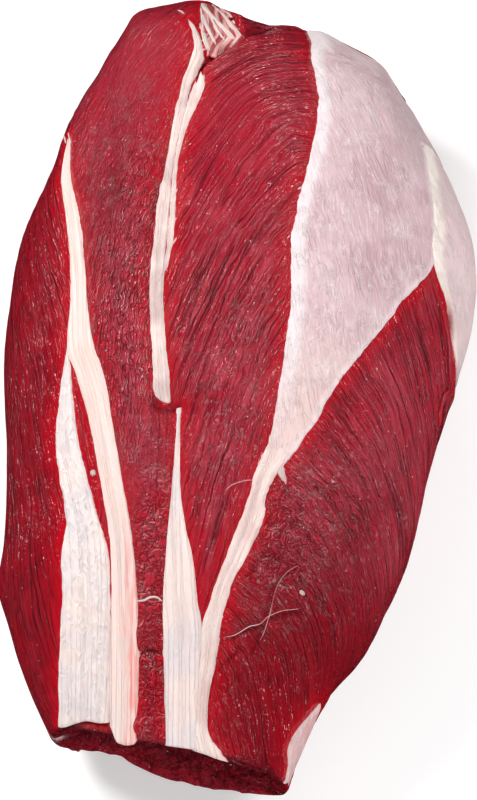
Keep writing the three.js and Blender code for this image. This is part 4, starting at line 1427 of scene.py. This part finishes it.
class SHANK_OT_tendons(bpy.types.Operator):
    """Make the flat tendon straps"""

    bl_idname = "shank.tendons"
    bl_label = "Tendons"

    def execute(self, context):
        shank = context.scene.shank
        rise, depth = shank.sizes.strap_rise / MM, shank.sizes.strap_depth / MM
        colours = shank.colours

        def inner_over(u, v, width, x, y):
            cords = 0.28 * np.cos(2 * np.pi * (u * 3.2 + 0.1)) * ease(-y, -10, 40)
            tip = ease(v, 1.0, 0.9)
            threads = 0.12 * speckle(u * width / 1.3, y / 20, 2.0)
            return 0.2 + (rise * rounded(u) + cords * rounded(u, 6) + threads) * tip

        def outer_over(u, v, width, x, y):
            wave = 0.3 * speckle(x / 6, y / 16, 6.0) + 0.15 * speckle(x / 2.4, y / 5, 8.0)
            return 0.15 + (rise * rounded(u, 4) + wave * rounded(u)) * ease(v, 1.0, 0.9)

        def arm_over(u, v, width, x, y):
            wave = 0.2 * speckle(x / 3.0, y / 22, 11.0)
            tip = (0.4 + 0.6 * ease(v, 1.0, 0.8)) * ease(v, 1.0, 0.98)
            return 0.15 + (rise * rounded(u, 4) + wave * rounded(u)) * tip

        def under(u, v, width, x, y):
            return 0.25 + (depth - 0.25) * rounded(u, 3) * ease(v, 1.0, 0.92)

        def finish(name, base, tint, **more):
            return strap_finish(name, colours, base, tint, rim=0.5, **more)

        ivory = finish("ivory_tendon", colours.tendon, colours.tendon_cool)
        rose = finish("rose_tendon", colours.tendon_rose, colours.tendon)
        cool = finish("cool_tendon", colours.tendon_cool, colours.tendon, worms=0.9)
        pink = finish("streaked_tendon", colours.tendon_warm, colours.tendon, streak=True, worms=0.1)
        for name, shape, span, over, fray, end, seed, look, node in (
            ("left_tendon_inner", INNER_STRAP, (-113.6, 84, 230, 20), inner_over, 0.12,
             [(0, 5.9), (0.12, 4.2), (0.22, 1.8), (0.4, 0.2), (0.85, 0), (1, 1.6)],
             1.0, pink, "tendon_left"),
            ("left_tendon_outer", OUTER_STRAP, (-107.4, 4, 130, 26), outer_over, 0.25,
             [(0, 0.5), (0.15, -0.2), (0.4, 0.3), (0.55, 0.6), (0.8, -0.1), (1, 0.2)],
             2.0, cool, "tendon_left"),
            ("centre_tendon_left", LEFT_ARM, (-116.1, -17, 120, 18), arm_over, 0.12,
             [(0, 1.6), (0.5, 0.8), (1, 0)], 3.0, ivory, "tendon_centre"),
            ("centre_tendon_right", RIGHT_ARM, (-119.7, -26.2, 110, 18), arm_over, 0.25,
             [(0, 3.6), (0.5, 2.2), (1, 0.2)], 4.0, rose, "tendon_centre"),
        ):
            band = strip(shape, *span, over, under, fray=fray, start_edge=end, seed=seed)
            dressed(woven(name, *band), look, "tendon", node)
        return {"FINISHED"}


class SHANK_OT_seam(bpy.types.Operator):
    """Make the strands of white tissue in the seam"""

    bl_idname = "shank.seam"
    bl_label = "Seam tissue"

    def execute(self, context):
        colours = context.scene.shank.colours

        def over(u, v, width, x, y):
            ends = ease(v, 1.0, 0.95) * (0.3 + 0.7 * ease(v, 0, 0.03))
            return 0.05 + (0.55 * rounded(u) + 0.15 * speckle(x / 1.4, y / 11, 3.0)) * ends

        def under(u, v, width, x, y):
            return 0.2 + 0.6 * rounded(u)

        def fan_over(u, v, width, x, y):
            return 0.15 + 0.1 * rounded(u) * (1 + np.cos(2 * np.pi * u * 7)) * ease(v, 0, 0.1)

        finish = strap_finish("seam_tissue", colours, colours.seam, colours.tendon, rim=0.6)
        loose = strap_finish("seam_threads", colours, colours.tendon_rose, colours.tendon)
        strand = strip(SEAM_STRAND, -15.2, 120.6, 180, 12, over, under, fray=0.3, fray_size=5.0, seed=5.0,
                       start_edge=[(0, 3.4), (0.2, 1.3), (0.5, 0.2), (0.8, 0), (1, 1.2)])
        side = strip(SIDE_STRAND, 26.5, 96.4, 110, 8, over, under, fray=0.3, fray_size=2.6, seed=6.0,
                     stop_edge=[(0, -1.5), (0.3, -4.5), (0.5, 0.5), (0.75, -3.2), (1, -6)])
        fan = strip(FAN, 104, 134.6, 60, 26, fan_over, under, fray=0.4, fray_size=3.0, seed=10.0)
        loose_strands = [thread(points, wide, 0.25, 0.25) for wide, points in FAN_THREADS]
        for piece, look in (
            (woven("seam_strand", *strand), finish),
            (woven("seam_side_strand", *side), finish),
            (woven("seam_fan", *fan), fan_finish(colours)),
            (joined("fan_strands", loose_strands), loose),
        ):
            dressed(piece, look, "seam_tissue", "seam_tissue")
        return {"FINISHED"}


class SHANK_OT_threads(bpy.types.Operator):
    """Make the fine threads and the raw lips on the meat"""

    bl_idname = "shank.threads"
    bl_label = "Threads and lips"

    def execute(self, context):
        shank = context.scene.shank
        colours = shank.colours
        ground = meat_form(shank.sizes).height_at
        thick = [(wide, points) for wide, points in THREADS if wide >= FINE_THREAD]
        fine = [(wide, points) for wide, points in THREADS if wide < FINE_THREAD]
        parts = [thread(points, wide, 0.12 + wide * 0.16, 0.05, ground) for wide, points in thick]
        parts.append(thread(SPUR, 4.0, 0.45, 0.0, ground, pointed=0.92))
        white = joined("white_threads", parts)
        pale = joined("pale_threads", [thread(points, wide, 0.16, 0.0, ground) for wide, points in fine])
        raw = [thread(points, wide, 0.9, 0.25, ground) for wide, points in FLANK_LIPS]
        lips = joined("flank_lips", raw)
        lip_look = strap_finish("raw_lip", colours, colours.bright, colours.rosy, dark=True)
        dressed(lips, lip_look, "lean_meat")
        white_look = strap_finish("white_threads", colours, colours.seam, colours.fibril_and_glint)
        dressed(white, white_look, "seam_tissue")
        pale_look = strap_finish("pale_threads", colours, colours.film_and_sheen, colours.fibril_and_glint)
        dressed(pale, pale_look, "seam_tissue")
        return {"FINISHED"}


class SHANK_OT_sheets(bpy.types.Operator):
    """Make the silverskin and the membranes"""

    bl_idname = "shank.sheets"
    bl_label = "Silverskin and membranes"

    def execute(self, context):
        shank = context.scene.shank
        colours = shank.colours
        rise, depth = shank.sizes.sheet_rise / MM, shank.sizes.sheet_depth / MM

        def silver_over(u, v, width, x, y):
            ridge = 0.6 * np.exp(-(((u * width - 3.4) / 2.0) ** 2)) * ease(v, 0.05, 0.2)
            wave = 0.35 * speckle(x / 11, y / 17, 4.0) + 0.12 * speckle(x / 3.3, y / 6, 5.0)
            edge = ease(u * width, -0.3, 1.4) * ease((1 - u) * width, -0.2, 1.8)
            ends = ease(v, 0, 0.06) * ease(v, 1.0, 0.99)
            return (rise + ridge + wave * 0.8) * edge * ends - 0.25 * ease(v, 0.02, 0)

        def thin_over(u, v, width, x, y):
            ridge = 0.5 * np.exp(-(((u * width - 2.4) / 1.6) ** 2))
            edge = ease(u * width, 0, 1.4) * ease((1 - u) * width, 0, 3)
            wave = 0.25 * speckle(x / 5, y / 9, 7.0)
            return -0.12 + (0.3 + ridge + wave) * edge * ease(v, 0, 0.04) * ease(v, 1.0, 0.96)

        def under(u, v, width, x, y):
            return 0.2 + (depth - 0.2) * ease(u * width, 0, 3) * ease((1 - u) * width, 0, 3)

        def thin(x, y):
            return blob(x, y, 46, 48, 14, 42, -8.0) * 0.95

        def never(x, y):
            return 0 * x

        def marks(x, y):
            marks = blob(x, y, 34.2, 110.2, 1.1, 0.5) + blob(x, y, 36.6, 109, 0.9, 0.5)
            return np.clip(marks, 0, 1) * 0.8

        def lips(x, y):
            lips = blob(x, y, 67, 18, 1.6, 6, 5) + blob(x, y, 69.2, 4.5, 1.6, 4, 5)
            return np.clip(lips, 0, 1) * 0.85

        silver = strip(SILVERSKIN, 0.338, 0.991, 190, 76, silver_over, under, True, fray=0.3,
                       fray_size=5.0, seed=7.0, masks={"thin": thin, "bloody": marks})
        flank = strip(MEMBRANE, 0.61, 0.915, 90, 40, thin_over, under, True, fray=0.25,
                      seed=8.0, masks={"thin": never, "bloody": lips})
        hock = strip(HOCK_MEMBRANE, 0.006, 0.11, 40, 30, thin_over, under, True, fray=0.3,
                     seed=9.0, masks={"thin": never, "bloody": never})
        c = colours
        for name, sheet, slot, node, thin_end, thick_end, edge, edge_width, start in (
            ("silverskin_sheet", silver, "silverskin", "silverskin",
             c.silver_lilac, c.silver_pink, c.silver_edge, 4.5, c.tendon_rose),
            ("flank_sheet", flank, "membrane", "flank_membrane",
             c.silver_pink, c.membrane, c.cream, 4.0, None),
            ("hock_sheet", hock, "thin_membrane", "hock_membrane", c.hock, c.hock, c.membrane, 1.5, None),
        ):
            look = sheet_finish(node, c, thin_end, thick_end, edge, edge_width, start)
            dressed(woven(name, *sheet), look, slot, node)
        return {"FINISHED"}


# Lights as (name, place, size, power setting, share of it, seen only as a highlight)
LIGHTS = (
    ("key_light", (-0.6, 0.35, 0.62), 0.3, "key", 1.15, False),
    ("side_light", (0.7, 0.2, 0.6), 0.5, "fill", 1.2, False),
    ("front_light", (0.1, -0.8, 0.5), 0.5, "fill", 1.0, False),
    ("left_glint", (-0.6, 0.35, 0.75), 0.22, "spark", 1.0, True),
    ("right_glint", (0.62, 0.3, 0.75), 0.18, "spark", 0.6, True),
    ("far_glint", (0.1, 0.95, 0.5), 0.2, "spark", 1.0, True),
    ("near_glint", (-0.2, -0.9, 0.6), 0.18, "spark", 0.6, True),
)
SKY_STRENGTH = 0.12


class SHANK_OT_studio(bpy.types.Operator):
    """Make the table, the lights and the camera"""

    bl_idname = "shank.studio"
    bl_label = "Studio"

    def execute(self, context):
        shank = context.scene.shank
        studio = shank.studio
        scene = context.scene
        bm = bmesh.new()
        bmesh.ops.create_grid(bm, x_segments=1, y_segments=1, size=4.0)
        table = placed("pale_table", bm)
        table.data.materials.append(board_finish(shank.colours))
        table.visible_glossy = False

        aim = Vector((SHIFT[0] * MM, SHIFT[1] * MM, studio.aim_height))
        back = Vector((0, -math.cos(studio.elevation), math.sin(studio.elevation)))
        camera = bpy.data.cameras.new("camera")
        camera.lens, camera.sensor_width = studio.lens, 36
        eye = bpy.data.objects.new("camera", camera)
        eye.location = aim + back * studio.distance
        eye.rotation_euler = (math.pi / 2 - studio.elevation, 0, 0)
        scene.collection.objects.link(eye)
        scene.camera = eye

        for name, place, size, setting, share, glints in LIGHTS:
            lamp = bpy.data.lights.new(name, "AREA")
            lamp.size, lamp.energy = size, getattr(studio, setting) * share
            holder = bpy.data.objects.new(name, lamp)
            holder.location = place
            holder.visible_glossy = glints
            holder.visible_diffuse = not glints
            holder.rotation_euler = (aim - holder.location).to_track_quat("-Z", "Y").to_euler()
            scene.collection.objects.link(holder)
        world = bpy.data.worlds.new("studio")
        world.use_nodes = True
        world.cycles_visibility.glossy = False
        background = world.node_tree.nodes["Background"]
        background.inputs["Color"].default_value = (1, 1, 1, 1)
        background.inputs["Strength"].default_value = SKY_STRENGTH
        scene.world = world
        scene.view_settings.view_transform = "Standard"
        return {"FINISHED"}


class SHANK_PT_panel(bpy.types.Panel):
    """Lists what makes the shank"""

    bl_idname = "SHANK_PT_panel"
    bl_label = "Beef shank"
    bl_space_type = "VIEW_3D"
    bl_region_type = "UI"
    bl_category = "Shank"

    def draw(self, context):
        for maker in MAKERS:
            self.layout.operator(maker.bl_idname)
        shank = context.scene.shank
        for group in (shank.sizes, shank.colours, shank.studio):
            box = self.layout.box()
            for name in group.bl_rna.properties.keys():
                if name not in ("rna_type", "name"):
                    box.prop(group, name)


MAKERS = [SHANK_OT_studio, SHANK_OT_meat, SHANK_OT_tendons, SHANK_OT_seam, SHANK_OT_sheets, SHANK_OT_threads]
CLASSES = [ShankSizes, ShankColours, ShankStudio, Shank, *MAKERS, SHANK_PT_panel]


def register():
    for cls in CLASSES:
        bpy.utils.register_class(cls)
    bpy.types.Scene.shank = PointerProperty(type=Shank)


def unregister():
    del bpy.types.Scene.shank
    for cls in reversed(CLASSES):
        bpy.utils.unregister_class(cls)


def main():
    register()
    makers = bpy.ops.shank
    for maker in (makers.studio, makers.meat, makers.tendons, makers.seam, makers.sheets, makers.threads):
        maker()


if __name__ == "__main__":
    main()
